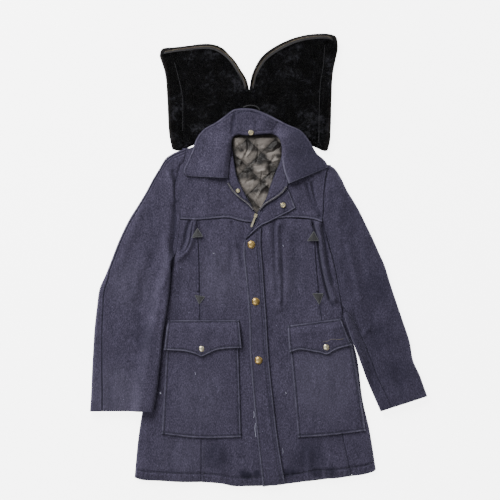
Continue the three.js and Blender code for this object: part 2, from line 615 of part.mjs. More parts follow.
// Collar, its inner stand, and the loop behind it
function collarLow(s, t) {
  const row = t * (COLLAR.length - 1);
  const behind = smooth(COLLAR_BACK_ROWS[0] - 2.5, COLLAR_BACK_ROWS[0], row)
    * (1 - smooth(COLLAR_BACK_ROWS[1], COLLAR_BACK_ROWS[1] + 1.6, row));
  const roll = 21.8 + 5 * smooth(0, 0.12, s) - 9.8 * smooth(0.16, 0.9, s);
  return mix(roll, COLLAR_BACK_LOW, behind);
}

function buildCollar() {
  const neck = curveThrough(COLLAR.map((row) => [row[0], row[1]]));
  const free = curveThrough(COLLAR.map((row) => [row[2], row[3]]));
  const surface = (s, t) => {
    const p = neck.getPoint(t).lerp(free.getPoint(t), s);
    return [p.x, p.y];
  };
  addPanel('collar', 'wool', surface, [0, 0.1, 0.25, 0.5, 0.75, 0.92, 1], spread(27),
    (x, y, s, t) => collarLow(s, t) + COLLAR_WALL, (x, y, s, t) => collarLow(s, t));
  const standTop = [[-56, 371], [-42, 376], [-26, 377], [-10, 374], [8, 367], [26, 359], [38, 353], [46, 349]];
  const standLow = [[-53, 317], [-42, 313], [-28, 312], [-12, 313], [4, 315], [18, 316], [27, 316.5], [34, 317]];
  const height = (x, y, s, t) => COLLAR_BACK_LOW + COLLAR_WALL + LAY_GAP + 5 * smooth(0.1, 0.9, t);
  const stand = (s, t) => ribbon(standLow, standTop)(t, s);
  addPanel('collar_stand', 'wool', stand, spread(9), spread(6), (x, y, s, t) => height(x, y, s, t) + STAND_WALL, height);
  const standFoot = COLLAR_BACK_LOW + COLLAR_WALL + LAY_GAP + STAND_WALL;
  addCord('hanger_loop', [[-40, 382.7], [-28, 387], [-14, 387], [-4, 383], [1.5, 376.8]], 1.3, COLLAR_BACK_LOW + 1.4);
  return standFoot;
}

function addCord(name, points, radius, height) {
  const path = new THREE.CatmullRomCurve3(points.map(([x, y]) => new THREE.Vector3(x, y, height)));
  const section = new THREE.Shape();
  section.absarc(0, 0, radius, 0, 2 * Math.PI);
  const geometry = new THREE.ExtrudeGeometry(section, { extrudePath: path, steps: 14, curveSegments: 4 });
  addSolid(name, 'cord', geometry);
}

// Hood: two lobes of wool with a pile lining, and the zip along their crown edges
function hoodPileTop(x, y, s, t, faceAtStart) {
  const [lobeWidth, lobeHeight] = [190, 200];
  const casingSeam = 22;
  const fromFace = (faceAtStart ? s : 1 - s) * lobeWidth;
  const edge = fall(fromFace, 12) * 5 + fall((1 - t) * lobeHeight, 14) * 3.5;
  const casing = 2 * Math.exp(-(((fromFace - casingSeam) / 4) ** 2));
  return HOOD_PILE_TOP - Math.max(edge, casing);
}

function buildHood() {
  const lobes = [['right', HOOD_RIGHT, true], ['left', HOOD_LEFT, false]];
  const faceSteps = [0, 0.03, 0.07, 0.115, 0.16, 0.32, 0.5, 0.68, 0.84, 1];
  const along = [0, 0.12, 0.27, 0.42, 0.57, 0.7, 0.8, 0.88, 0.95, 1];
  lobes.forEach(([side, outline, faceAtStart]) => {
    const across = faceAtStart ? faceSteps : faceSteps.map((s) => 1 - s).reverse();
    addPanel(`hood_shell_${side}`, 'wool', inside(outline), across.filter((_, i) => i % 2 === 0 || i === 9), along,
      () => BACK_WALL, () => 0, 0.3);
    addPanel(`hood_lining_${side}`, 'pile', inside(outline), across, along,
      (x, y, s, t) => hoodPileTop(x, y, s, t, faceAtStart), () => LINING_LOW, 1.5);
    const crown = faceAtStart
      ? [[-236, 520], [-208, 525], [-174, 529], [-144, 532.5], [-116, 531.5], [-95, 522.5], [-81, 512], [-67, 496.5],
        [-52, 473], [-39, 451], [-33, 432]]
      : [[-16, 432], [-12, 450], [-8.5, 464], [14, 502], [45, 526], [92, 548.5], [137, 557.5], [172, 557.5], [183, 553]];
    const tapeInner = crown.map(([x, y]) => [x + (faceAtStart ? -3.5 : 3.5), y - 6.5]);
    addPanel(`hood_zip_${side}`, 'brass', ribbon(tapeInner, crown), [0, 1], spread(16),
      () => HOOD_PILE_TOP + LAY_GAP + ZIP_WALL, () => HOOD_PILE_TOP + LAY_GAP);
  });
}

// Dome snaps, arrowhead tacks, slider and pull
function addCap(name, kind, [x, y], base, radius, height) {
  const profile = [[0, 0], [radius * 0.94, 0], [radius, 0.7], [radius * 0.93, 1.5], [radius * 0.7, height * 0.8], [0, height]];
  const geometry = new THREE.LatheGeometry(profile.map(([r, z]) => new THREE.Vector2(r, z)), 16);
  geometry.rotateX(Math.PI / 2);
  geometry.translate(x, y, base);
  addSolid(name, kind, geometry);
}

function addRingSnap(name, kind, [x, y], base, radius) {
  const profile = [[0, 0], [radius * 0.95, 0], [radius, 0.8], [radius * 0.9, 2], [radius * 0.62, 2.4],
    [radius * 0.45, 1.2], [0, 1.2]];
  const geometry = new THREE.LatheGeometry(profile.map(([r, z]) => new THREE.Vector2(r, z)), 16);
  geometry.rotateX(Math.PI / 2);
  geometry.translate(x, y, base);
  addSolid(name, kind, geometry);
}

function discPoints([x, y], radius) {
  return spread(9).map((k) => [x + radius * Math.cos(2 * Math.PI * k), y + radius * Math.sin(2 * Math.PI * k)]);
}

function buildSnaps(standFoot) {
  const capGap = 0.35;
  const onPlacket = (at) => seatUnder(frontTop, discPoints(at, CAP_RADIUS)) + PLACKET_WALL + capGap;
  [['top', [-19, 41]], ['middle', [-8, -101]], ['low', [-1, -247]]].forEach(([row, at]) => {
    addCap(`snap_cap_${row}`, 'brass', at, onPlacket(at), CAP_RADIUS, 4.2);
  });
  [['right', [-143, -218]], ['left', [167, -214]]].forEach(([side, at]) => {
    const base = Math.max(...discPoints(at, FLAP_CAP_RADIUS).map(([x, y]) => flapRest(x, y))) + FLAP_WALL + LAY_GAP;
    addCap(`snap_flap_${side}`, 'brass', at, base, FLAP_CAP_RADIUS, 3.6);
  });
  const lapelAt = [60, 139];
  addRingSnap('snap_socket_lapel', 'brass', lapelAt,
    seatUnder(frontTop, discPoints(lapelAt, RING_RADIUS + 6)) + LAPEL_WALL + LAY_GAP, RING_RADIUS);
  const facingAt = [-48.5, 177.5];
  addRingSnap('snap_stud_facing', 'nickel', facingAt,
    seatUnder(frontTop, discPoints(facingAt, RING_RADIUS)) + FACING_WALL + LAY_GAP, 5.5);
  addCap('snap_neck', 'nickel', [-20, 324], standFoot + 1.6, 7.2, 3);
}

function buildArrowheads() {
  const tacks = [
    ['arrowhead_right_high', [-153, 82], [-168, 58], [-140, 61], 0.9],
    ['arrowhead_right_low', [-149, -107], [-135, -89], [-160, -85], 0],
    ['arrowhead_left_high', [136, 74], [120, 50], [148, 51], 0.3],
    ['arrowhead_left_low', [150, -108], [160, -81], [133, -81], 0],
  ];
  tacks.forEach(([name, tip, baseA, baseB, pressedIn]) => {
    const corners = [tip, baseA, baseB];
    const middle = [0, 1].map((axis) => (tip[axis] + baseA[axis] + baseB[axis]) / 3);
    const shape = new THREE.Shape();
    shape.moveTo(...tip);
    corners.forEach((corner, i) => {
      const next = corners[(i + 1) % 3];
      const waist = [0, 1].map((axis) => mix((corner[axis] + next[axis]) / 2, middle[axis], 0.18));
      shape.lineTo(...waist);
      shape.lineTo(...next);
    });
    const geometry = new THREE.ExtrudeGeometry(shape, { depth: 1.2, bevelEnabled: false, curveSegments: 2 });
    const samples = corners.flatMap((corner) => spread(5).map((k) => corner.map((v, axis) => mix(v, middle[axis], k))));
    geometry.translate(0, 0, seatUnder(frontTop, samples, SEAM_GAP, 0) - pressedIn);
    addSolid(name, 'thread', geometry);
  });
}

function toManifold(geometry) {
  const bare = new THREE.BufferGeometry();
  bare.setAttribute('position', geometry.getAttribute('position').clone());
  if (geometry.index) {
    bare.setIndex(Array.from(geometry.index.array));
  }
  const merged = mergeVertices(bare, 1e-4);
  return new wasm.Manifold(new wasm.Mesh({
    numProp: 3,
    vertProperties: new Float32Array(merged.getAttribute('position').array),
    triVerts: new Uint32Array(merged.index.array),
  }));
}

function fromManifold(solid) {
  const mesh = solid.getMesh();
  const geometry = new THREE.BufferGeometry();
  geometry.setAttribute('position', new THREE.Float32BufferAttribute(mesh.vertProperties, 3));
  geometry.setIndex(Array.from(mesh.triVerts));
  return geometry;
}

// The hardware frame: x along the pull, y along the pivot, z up, then turned and moved to its place
function pivotPlacement() {
  const angle = Math.atan2(PULL_TOWARDS[1] - SLIDER_AT[1], PULL_TOWARDS[0] - SLIDER_AT[0]);
  const pivot = [SLIDER_AT[0] + 3.2 * Math.cos(angle), SLIDER_AT[1] + 3.2 * Math.sin(angle)];
  return new THREE.Matrix4().makeTranslation(pivot[0], pivot[1], PIVOT_HEIGHT)
    .multiply(new THREE.Matrix4().makeRotationZ(angle));
}

function boxAt(length, width, height, x, y, z) {
  return toManifold(new THREE.BoxGeometry(length, width, height).translate(x, y, z));
}

function roundBar(radius, width) {
  return toManifold(new THREE.CylinderGeometry(radius, radius, width, 16));
}

function buildSlider() {
  const place = pivotPlacement();
  const bodyLow = FRONT_TOP + LAY_GAP - PIVOT_HEIGHT;
  const bodyHigh = 18.7 - PIVOT_HEIGHT;
  const [sliderLength, sliderWidth] = [8.6, 7.6];
  const body = boxAt(sliderLength, sliderWidth, bodyHigh - bodyLow, -3.2, 0, (bodyHigh + bodyLow) / 2);
  const lugHeight = 1.3 - bodyHigh + 0.4;
  const lugs = [-1, 1].map((side) => boxAt(2.8, 1.3, lugHeight, 0, side * 2.55, 1.3 - lugHeight / 2));
  const slider = body.add(lugs[0]).add(lugs[1]).add(roundBar(0.6, 5));
  addSolid('zip_slider', 'brass', fromManifold(slider).applyMatrix4(place));
  const eye = roundBar(1.6, 3.2).add(boxAt(3.4, 3.2, 1.3, 2.4, 0, 0)).subtract(roundBar(0.95, 4));
  const outline = new THREE.Shape();
  outline.moveTo(3.6, -2.4);
  outline.lineTo(PULL_LENGTH - 2.4, -2.4);
  outline.absarc(PULL_LENGTH - 2.4, 0, 2.4, -Math.PI / 2, Math.PI / 2);
  outline.lineTo(3.6, 2.4);
  const plate = toManifold(new THREE.ExtrudeGeometry(outline, { depth: 1.3, bevelEnabled: false, curveSegments: 8 })
    .translate(0, 0, -0.65));
  addSolid('zip_pull', 'brass', fromManifold(eye.add(plate)).applyMatrix4(place));
}

buildBack();
buildBackLining();
buildFronts();
buildClosure();
buildPockets();
buildRightSleeve();
buildLeftSleeve();
const standFoot = buildCollar();
buildHood();
buildSnaps(standFoot);
buildArrowheads();
buildSlider();
coat.position.set(...ORIGIN_SHIFT, 0);

export default coat;
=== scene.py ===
# %% [markdown]
# A hooded wool coat lies flat on a pale floor, face up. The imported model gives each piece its
# place, and this script dresses it: thick felted wool, a quilted satin lining, a plush hood,
# metal zips and brass dome snaps. Work starts with the frame and the size of the whole model.

# %% Load the frame
import json
import math

import bpy
import numpy as np
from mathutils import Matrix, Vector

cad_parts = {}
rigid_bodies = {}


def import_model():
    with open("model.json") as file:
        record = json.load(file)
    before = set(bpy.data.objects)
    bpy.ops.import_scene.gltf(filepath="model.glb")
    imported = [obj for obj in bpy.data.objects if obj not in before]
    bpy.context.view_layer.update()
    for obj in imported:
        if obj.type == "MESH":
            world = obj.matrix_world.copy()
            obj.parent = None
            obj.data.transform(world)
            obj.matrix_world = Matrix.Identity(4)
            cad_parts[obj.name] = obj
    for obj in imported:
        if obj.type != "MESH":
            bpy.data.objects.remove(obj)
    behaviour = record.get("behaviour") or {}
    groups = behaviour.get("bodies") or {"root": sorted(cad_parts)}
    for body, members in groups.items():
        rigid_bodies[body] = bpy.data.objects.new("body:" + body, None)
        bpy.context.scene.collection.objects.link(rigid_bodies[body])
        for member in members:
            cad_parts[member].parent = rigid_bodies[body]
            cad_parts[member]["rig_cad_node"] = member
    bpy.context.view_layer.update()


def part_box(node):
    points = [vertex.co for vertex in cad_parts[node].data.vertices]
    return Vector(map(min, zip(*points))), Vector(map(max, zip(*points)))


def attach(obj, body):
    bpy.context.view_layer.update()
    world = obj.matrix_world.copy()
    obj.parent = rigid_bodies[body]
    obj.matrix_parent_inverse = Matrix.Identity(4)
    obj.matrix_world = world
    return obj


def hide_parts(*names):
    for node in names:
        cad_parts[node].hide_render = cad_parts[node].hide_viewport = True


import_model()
MM = 0.001
# The tables below were measured from another zero; this moves them to the model's origin.
ORIGIN_SHIFT = np.array([1.0, -0.43, 0.0])

# %% [markdown]
# Colours are easier to read as sRGB hex values, but the renderer works in linear light. One
# function turns one into the other, and one small helper adds a shader node with its settings
# and links, so every material below reads as a short list of what it does.

# %% Colour and node helpers


def linear(hex_colour):
    parts = [int(hex_colour[i:i + 2], 16) / 255 for i in (1, 3, 5)]
    return tuple(c / 12.92 if c <= 0.04045 else ((c + 0.055) / 1.055) ** 2.4 for c in parts) + (1.0,)


def set_stops(ramp, stops):
    ends = ramp.elements[0], ramp.elements[1]
    for element, (position, colour) in zip(ends, (stops[0], stops[-1])):
        element.position, element.color = position, linear(colour)
    for position, colour in stops[1:-1]:
        ramp.elements.new(position).color = linear(colour)


def add(tree, kind, settings=None, **links):
    """Adds a node; i0 to i7 in the links name a socket by its place."""
    node = tree.nodes.new(kind)
    for key, value in (settings or {}).items():
        if key == "stops":
            set_stops(node.color_ramp, value)
        elif isinstance(key, int) or key in node.inputs:
            node.inputs[key].default_value = value
        else:
            setattr(node, key, value)
    for key, source in links.items():
        name = key.replace("_", " ")
        place = int(name[1:]) if name[0] == "i" and name[1:].isdigit() else name
        tree.links.new(source, node.inputs[place])
    return node


print("navy in linear light:", [round(c, 4) for c in linear("#201e2b")])

# %% [markdown]
# Each material starts from the same shader. Patterns read Object coordinates in metres, so a
# noise with features of a known size in millimetres needs a scale of 1000 over that size. Pale
# edges of wear and painted highlight, painted shade, and tarnish with painted shade beside it
# are amounts that each mesh carries as attributes.

# %% Steps that every material takes


def new_material(name, rough, metal=0.0, **extra):
    material = bpy.data.materials.new(name)
    material.use_nodes = True
    tree = material.node_tree
    shader = tree.nodes["Principled BSDF"]
    shader.inputs["Roughness"].default_value = rough
    shader.inputs["Metallic"].default_value = metal
    for key, value in extra.items():
        shader.inputs[key.replace("_", " ")].default_value = value
    place = add(tree, "ShaderNodeTexCoord")
    return material, tree, shader, place.outputs["Object"]


def tinted(tree, colour, attribute, tint):
    """The colour, turned to the tint where the mesh's attribute says so."""
    amount = add(tree, "ShaderNodeAttribute", {"attribute_name": attribute})
    mixed = add(tree, "ShaderNodeMix", {"data_type": "RGBA", 7: linear(tint)}, i0=amount.outputs["Fac"],
                i6=colour)
    return mixed.outputs[2]


def dress(tree, shader, colour, relief, strength, depth):
    """Links the colour, and the relief as bump with its strength and its depth in millimetres."""
    tree.links.new(colour, shader.inputs["Base Color"])
    bump = add(tree, "ShaderNodeBump", {"Strength": strength, "Distance": depth * MM}, Height=relief)
    tree.links.new(bump.outputs[0], shader.inputs["Normal"])


print("every material starts from a Principled BSDF")

# %% [markdown]
# Melton is wool that has been woven, then felted until the weave disappears. What the eye gets
# is a dull, slightly furry dark navy: a heather of lighter and darker fibres, drawn out a little
# along the nap, a soft glow where the surface turns away, and small bumps from the felt. The
# fibres are finer than a pixel, so the speckle is drawn at about 2 mm, as coarse as it needs to
# be to show. Pressed edges are painted pale, as wear and painted highlight, and seams, stitched
# grooves, creases and shadow patches are painted dark as painted shade.

# %% Wool melton
SPECKLE_SCALE = 520.0
STREAK_SCALE = 46.0
FELT_BUMP_SCALE = 240.0
ALONG_NAP = (1.0, 0.42, 1.0)


def wool_material(name, dark, mid, light):
    material, tree, shader, place = new_material(
        name, 0.95, Sheen_Weight=0.3, Sheen_Roughness=0.45, Specular_IOR_Level=0.2)
    shader.inputs["Sheen Tint"].default_value = linear("#a3a1b8")
    nap = add(tree, "ShaderNodeMapping", {"Scale": ALONG_NAP}, Vector=place).outputs[0]
    fibres = add(tree, "ShaderNodeTexNoise", {"Scale": SPECKLE_SCALE, "Detail": 3.0, "Roughness": 0.8},
                 Vector=nap)
    streaks = add(tree, "ShaderNodeTexNoise", {"Scale": STREAK_SCALE, "Detail": 5.0, "Roughness": 0.7},
                  Vector=nap)
    both = add(tree, "ShaderNodeMix", {"data_type": "FLOAT", 0: 0.22}, i2=fibres.outputs[0],
               i3=streaks.outputs[0])
    heather = add(tree, "ShaderNodeValToRGB", {"stops": [(0.36, dark), (0.5, mid), (0.66, light)]},
                  i0=both.outputs[0])
    lint = add(tree, "ShaderNodeTexNoise", {"Scale": SPECKLE_SCALE, "Detail": 0.0}, Vector=place)
    speck = add(tree, "ShaderNodeMapRange", {1: 0.83, 2: 0.9}, i0=lint.outputs[0])
    flecked = add(tree, "ShaderNodeMix", {"data_type": "RGBA", 7: linear("#82829a")},
                  i0=speck.outputs[0], i6=heather.outputs[0])
    # Pale edges as wear with a painted highlight, and painted light in the pale patches.
    worn_and_lit = tinted(tree, flecked.outputs[2], "wear", "#757284")
    felt = add(tree, "ShaderNodeTexNoise", {"Scale": FELT_BUMP_SCALE, "Detail": 6.0, "Roughness": 0.75},
               Vector=nap)
    # Painted shade, navy near black, in seams, stitched grooves, creases and shadow patches.
    dress(tree, shader, tinted(tree, worn_and_lit, "groove", "#0d0d1d"), felt.outputs[0], 0.8, 1.2)
    return material


wool = wool_material("wool_melton", "#201e2b", "#353141", "#504b5f")
print("wool ready")

# %% [markdown]
# The lining is a satin of taupe polyester, quilted in diamonds. Satin throws long soft
# highlights along its floats, which a middling roughness and a little anisotropy give; a painted
# highlight on the lower half of each pillow and painted shade in the stitch lines, the upper
# halves and a few spots come as attributes. The pile of the hood is a black plush: nearly all
# light is lost between its fibres, and where it has been stroked the other way it shows as a
# greyer patch; along its top and face edges it is painted paler, as wear and painted highlight.

# %% Satin and plush
CLOUD_SCALE = 34.0
CRUMPLE_SCALE = 75.0
STROKE_SCALE = 22.0
TUFT_SCALE = 140.0


def satin_material():
    material, tree, shader, place = new_material(
        "satin_lining", 0.5, Anisotropic=0.3, Specular_IOR_Level=0.22)
    cloud = add(tree, "ShaderNodeTexNoise", {"Scale": CLOUD_SCALE, "Detail": 4.0}, Vector=place)
    colour = add(tree, "ShaderNodeValToRGB", {"stops": [(0.35, "#151312"), (0.52, "#252220"),
                                                        (0.7, "#383432")]},
                 i0=cloud.outputs[0])
    # Painted shade in the stitch lines, the upper halves of the pillows and a few spots.
    sunk = tinted(tree, colour.outputs[0], "groove", "#0b0a0a")
    crumple = add(tree, "ShaderNodeTexNoise", {"Scale": CRUMPLE_SCALE, "Detail": 4.0, "Distortion": 2.2},
                  Vector=place)
    # Painted highlight on the lower halves of the pillows.
    dress(tree, shader, tinted(tree, sunk, "wear", "#726c67"), crumple.outputs[0], 0.55, 4.0)
    return material


def plush_material():
    material, tree, shader, place = new_material(
        "plush_pile", 0.9, Sheen_Weight=0.06, Sheen_Roughness=0.3, Specular_IOR_Level=0.12)
    stroked = add(tree, "ShaderNodeTexNoise",
                  {"Scale": STROKE_SCALE, "Detail": 5.0, "Roughness": 0.6, "Distortion": 0.6}, Vector=place)
    tufts = add(tree, "ShaderNodeTexNoise", {"Scale": TUFT_SCALE, "Detail": 4.0, "Roughness": 0.7},
                Vector=place)
    both = add(tree, "ShaderNodeMix", {"data_type": "FLOAT", 0: 0.45}, i2=stroked.outputs[0],
               i3=tufts.outputs[0])
    colour = add(tree, "ShaderNodeValToRGB", {"stops": [(0.44, "#040405"), (0.53, "#0c0c0f"),
                                                        (0.62, "#34343a")]},
                 i0=both.outputs[0])
    # Painted paler along the pile's top and face edges, as wear and painted highlight.
    dress(tree, shader, tinted(tree, colour.outputs[0], "wear", "#2a2523"), tufts.outputs[0], 1.0, 4.0)
    return material


satin = satin_material()
plush = plush_material()
print("satin and plush ready")

# %% [markdown]
# Thread and cord are twisted or braided polyester, dull with a faint bump of the twist. Each
# one has a dark tone in its hollows and a paler one on its ridges.

# %% Thread and cord
TWIST_SCALE = 900.0


def thread_material(name, low, high):
    material, tree, shader, place = new_material(name, 0.6, Sheen_Weight=0.1)
    twist = add(tree, "ShaderNodeTexNoise", {"Scale": TWIST_SCALE, "Detail": 3.0}, Vector=place)
    colour = add(tree, "ShaderNodeValToRGB", {"stops": [(0.35, low), (0.7, high)]}, i0=twist.outputs[0])
    dress(tree, shader, colour.outputs[0], twist.outputs[0], 0.4, 0.4)
    return material


tack_thread = thread_material("tack_thread", "#161619", "#262629")
tack_outline = thread_material("tack_outline_thread", "#434446", "#5c5d60")
seam_thread = thread_material("seam_thread", "#171726", "#2c2c40")
casing_thread = thread_material("casing_thread", "#2b2b30", "#44444a")
lint_thread = thread_material("lint_fibre", "#85859a", "#b4b4c4")
stray_thread = thread_material("stray_thread", "#5c564c", "#7d7566")
tape_cloth = thread_material("zip_tape_cloth", "#15151c", "#2a2a33")
hood_tape = thread_material("hood_tape_cloth", "#0f0e11", "#1f1c1e")
loop_cord = thread_material("braided_cord", "#0a0a0e", "#1a1a20")
print("threads ready")

# %% [markdown]
# The placket's snaps are pressed brass, those of the flaps and the slider are plated paler, and
# the teeth are aluminium on the front and bronze on the hood. Handled metal is never even, so a
# noise moves the colour, a bump adds the small waves of polishing, and the snaps turn brown as
# tarnish in their rolled rims and as painted shade towards their lower right.

# %% Metals
POLISH_WAVE_SCALE = 150.0


def metal_material(name, low, high, rough):
    material, tree, shader, place = new_material(name, rough, 1.0)
    waves = add(tree, "ShaderNodeTexNoise", {"Scale": POLISH_WAVE_SCALE, "Detail": 3.0}, Vector=place)
    colour = add(tree, "ShaderNodeValToRGB", {"stops": [(0.3, low), (0.75, high)]}, i0=waves.outputs[0])
    # Brown tarnish, and painted shade, where the mesh's attribute says so.
    dress(tree, shader, tinted(tree, colour.outputs[0], "tarnish", "#4d3c20"), waves.outputs[0], 0.12, 0.2)
    return material


brass = metal_material("worn_brass", "#a8894e", "#dcc184", 0.34)
worn_plate = metal_material("worn_plate", "#cabf98", "#f6f1dc", 0.3)
pale_gold = metal_material("pale_gold_plate", "#dccfa6", "#faf4e0", 0.26)
aluminium = metal_material("aluminium_teeth", "#8d8990", "#c9c6cc", 0.35)
bronze = metal_material("bronze_teeth", "#55493a", "#86765c", 0.45)
print("metals ready")

# %% [markdown]
# Every panel of the coat is a sheet with four edges. The edges are smooth curves through a few
# measured points, and a Coons patch fills them: it blends left with right and bottom with top.
# The tables are the ones that the model was cut from, in millimetres, from the hem upwards.

# %% Curves and patches
# Rounded, because the ripples and puckers below were set with this value.
TURN = 6.28
CURVE_SAMPLES = 240


def curve_points(points, u):
    """Centripetal curve through the points, u from 0 to 1 in equal shares of their count."""
    p = np.asarray(points, float)
    p = np.vstack([2 * p[0] - p[1], p, 2 * p[-1] - p[-2]])
    x = np.clip(np.asarray(u, float), 0, 1) * (len(p) - 3)
    i = np.minimum(x.astype(int), len(p) - 4)
    w = (x - i)[..., None]
    a, b, c, d = p[i], p[i + 1], p[i + 2], p[i + 3]

    def gap(q, r):
        return np.maximum(np.linalg.norm(r - q, axis=-1, keepdims=True), 1e-6) ** 0.5

    g0, g1, g2 = gap(a, b), gap(b, c), gap(c, d)
    m1 = ((b - a) / g0 - (c - a) / (g0 + g1) + (c - b) / g1) * g1
    m2 = ((c - b) / g1 - (d - b) / (g1 + g2) + (d - c) / g2) * g1
    return b + m1 * w + (3 * (c - b) - 2 * m1 - m2) * w ** 2 + (2 * (b - c) + m1 + m2) * w ** 3


def even_curve(points, t):
    """The same curve, t in equal shares of its length."""
    u = np.linspace(0, 1, CURVE_SAMPLES)
    line = curve_points(points, u)
    run = np.concatenate([[0], np.cumsum(np.linalg.norm(np.diff(line, axis=0), axis=1))])
    return curve_points(points, np.interp(np.asarray(t) * run[-1], run, u))


def inside(left, right, bottom, top):
    """Coons patch between four edges; the left and right ones run upwards, the others to +X."""
    def surface(s, t):
        l, r = even_curve(left, t)[:, None], even_curve(right, t)[:, None]
        b, u = even_curve(bottom, s)[None], even_curve(top, s)[None]
        ss, tt = s[None, :, None], t[:, None, None]
        corner = [even_curve(e, np.array([k]))[0] for e, k in ((left, 0), (right, 0), (left, 1), (right, 1))]
        low = (1 - ss) * corner[0] + ss * corner[1]
        high = (1 - ss) * corner[2] + ss * corner[3]
        return (1 - ss) * l + ss * r + (1 - tt) * b + tt * u - (low * (1 - tt) + high * tt)
    return surface


def ribbon(left, right, by_length=True):
    """Ruled strip between two edges that run the same way."""
    follow = even_curve if by_length else curve_points

    def surface(s, t):
        ss = s[None, :, None]
        return (1 - ss) * follow(left, t)[:, None] + ss * follow(right, t)[:, None]
    return surface


def smooth(low, high, value):
    """0 below low, 1 above high, and an S between them."""
    k = np.clip((value - low) / (high - low), 0, 1)
    return k * k * (3 - 2 * k)


def fall(distance, reach):
    """1 at the edge and 0 from the reach inwards, as a rounded shoulder."""
    return np.clip(1 - distance / reach, 0, 1) ** 2


def bell(distance, width):
    return np.exp(-((distance / width) ** 2))


print("a test curve:", even_curve([[0, 0], [10, 5], [20, 0]], np.array([0.5])))

# %% [markdown]
# The body tables hold the seams and edges of the body. Left and right are the wearer's, so the
# right front lies at negative X.

# %% Body tables
RIGHT_SIDE = [
    [-311, -540], [-302, -445], [-287, -347], [-269, -227], [-252, -142], [-243, -95],
    [-235, -66], [-226, -42], [-219, -20], [-213, 0], [-207, 20]]
RIGHT_ARMHOLE_LOW = [[-207, 20], [-200, 65], [-196, 104]]
RIGHT_ARMHOLE_HIGH = [[-196, 104], [-198, 140], [-202, 175], [-192, 213], [-186, 252], [-180, 279]]
LEFT_SIDE = [[292, -520], [276, -422], [259, -347], [242, -227], [212, -142], [207, -122]]
LEFT_ARMHOLE_LOW = [[207, -122], [202, -90], [189, -17], [171, 48], [158, 96]]
LEFT_ARMHOLE_HIGH = [[158, 96], [160, 125], [162, 173], [167, 214], [172, 237]]
RIGHT_PANEL_SEAM = [
    [-144, -552], [-144, -442], [-145, -347], [-146, -227], [-147, -142], [-148, -90],
    [-150, -17], [-152, 50], [-155, 102]]
LEFT_PANEL_SEAM = [
    [231, -537], [209, -437], [193, -347], [172, -227], [156, -142], [149, -90],
    [143, -17], [138, 50], [132, 104]]
FRONT_MIDDLE = [
    [39, -561], [22, -447], [11, -347], [0.5, -227], [-3.5, -142], [-7, -90],
    [-13, -17], [-16, 50], [-11, 96]]
PLACKET_RIGHT_EDGE = [
    [9, -563], [-4, -447], [-14, -347], [-23, -227], [-25, -150], [-29, -90],
    [-36, -17], [-39, 10], [-39, 30], [-38, 47]]
PLACKET_LEFT_EDGE = [
    [66, -556], [48, -447], [36, -347], [24, -227], [19, -142], [15, -90],
    [10, -17], [6, 30], [5, 55], [6, 83]]
HEM_RIGHT_SIDE = [[-311, -540], [-294, -546], [-246, -549], [-198, -552], [-144, -552]]
HEM_RIGHT_CENTRE = [[-144, -552], [-93, -556], [-64, -562], [-22, -562], [39, -561]]
HEM_LEFT_CENTRE = [[39, -561], [66, -557], [109, -551], [138, -544], [187, -543], [231, -537]]
HEM_LEFT_SIDE = [[231, -537], [261, -533], [287, -525], [292, -520]]
YOKE_SEAM_RIGHT_SIDE = [[-196, 104], [-155, 102]]
YOKE_SEAM_RIGHT_CENTRE = [[-155, 102], [-76, 107], [-52, 101], [-25, 96], [-11, 96]]
YOKE_SEAM_LEFT_CENTRE = [[-11, 96], [6, 90], [50, 106], [132, 104]]
YOKE_SEAM_LEFT_SIDE = [[132, 104], [158, 96]]
RIGHT_ROLL = [
    [-11, 96], [-9, 120], [-13, 129], [-30, 159], [-37, 172], [-53, 207], [-63, 257], [-70, 298], [-77, 317]]
LEFT_ROLL = [
    [-11, 96], [-4, 120], [5, 134], [19, 160], [28, 188], [42, 224], [55, 257], [57, 298], [60, 317]]
RIGHT_SHOULDER = [[-180, 279], [-77, 317]]
LEFT_SHOULDER = [[60, 317], [172, 237]]
NECK_SEAM = [[-77, 317], [-8, 318.5], [60, 317]]
print("body under the arms:", LEFT_ARMHOLE_LOW[2][0] - RIGHT_ARMHOLE_LOW[0][0], "mm across")

# %% [markdown]
# Cloth that lies flat still has creases. Each one here is given as a line with a height and a
# width: a positive height is a soft ridge, a negative one a trough. They are uneven on purpose,
# as on the real coat. A slow ripple keeps the rest from looking ironed.

# %% Creases
CREASE_DEPTH = 1.5
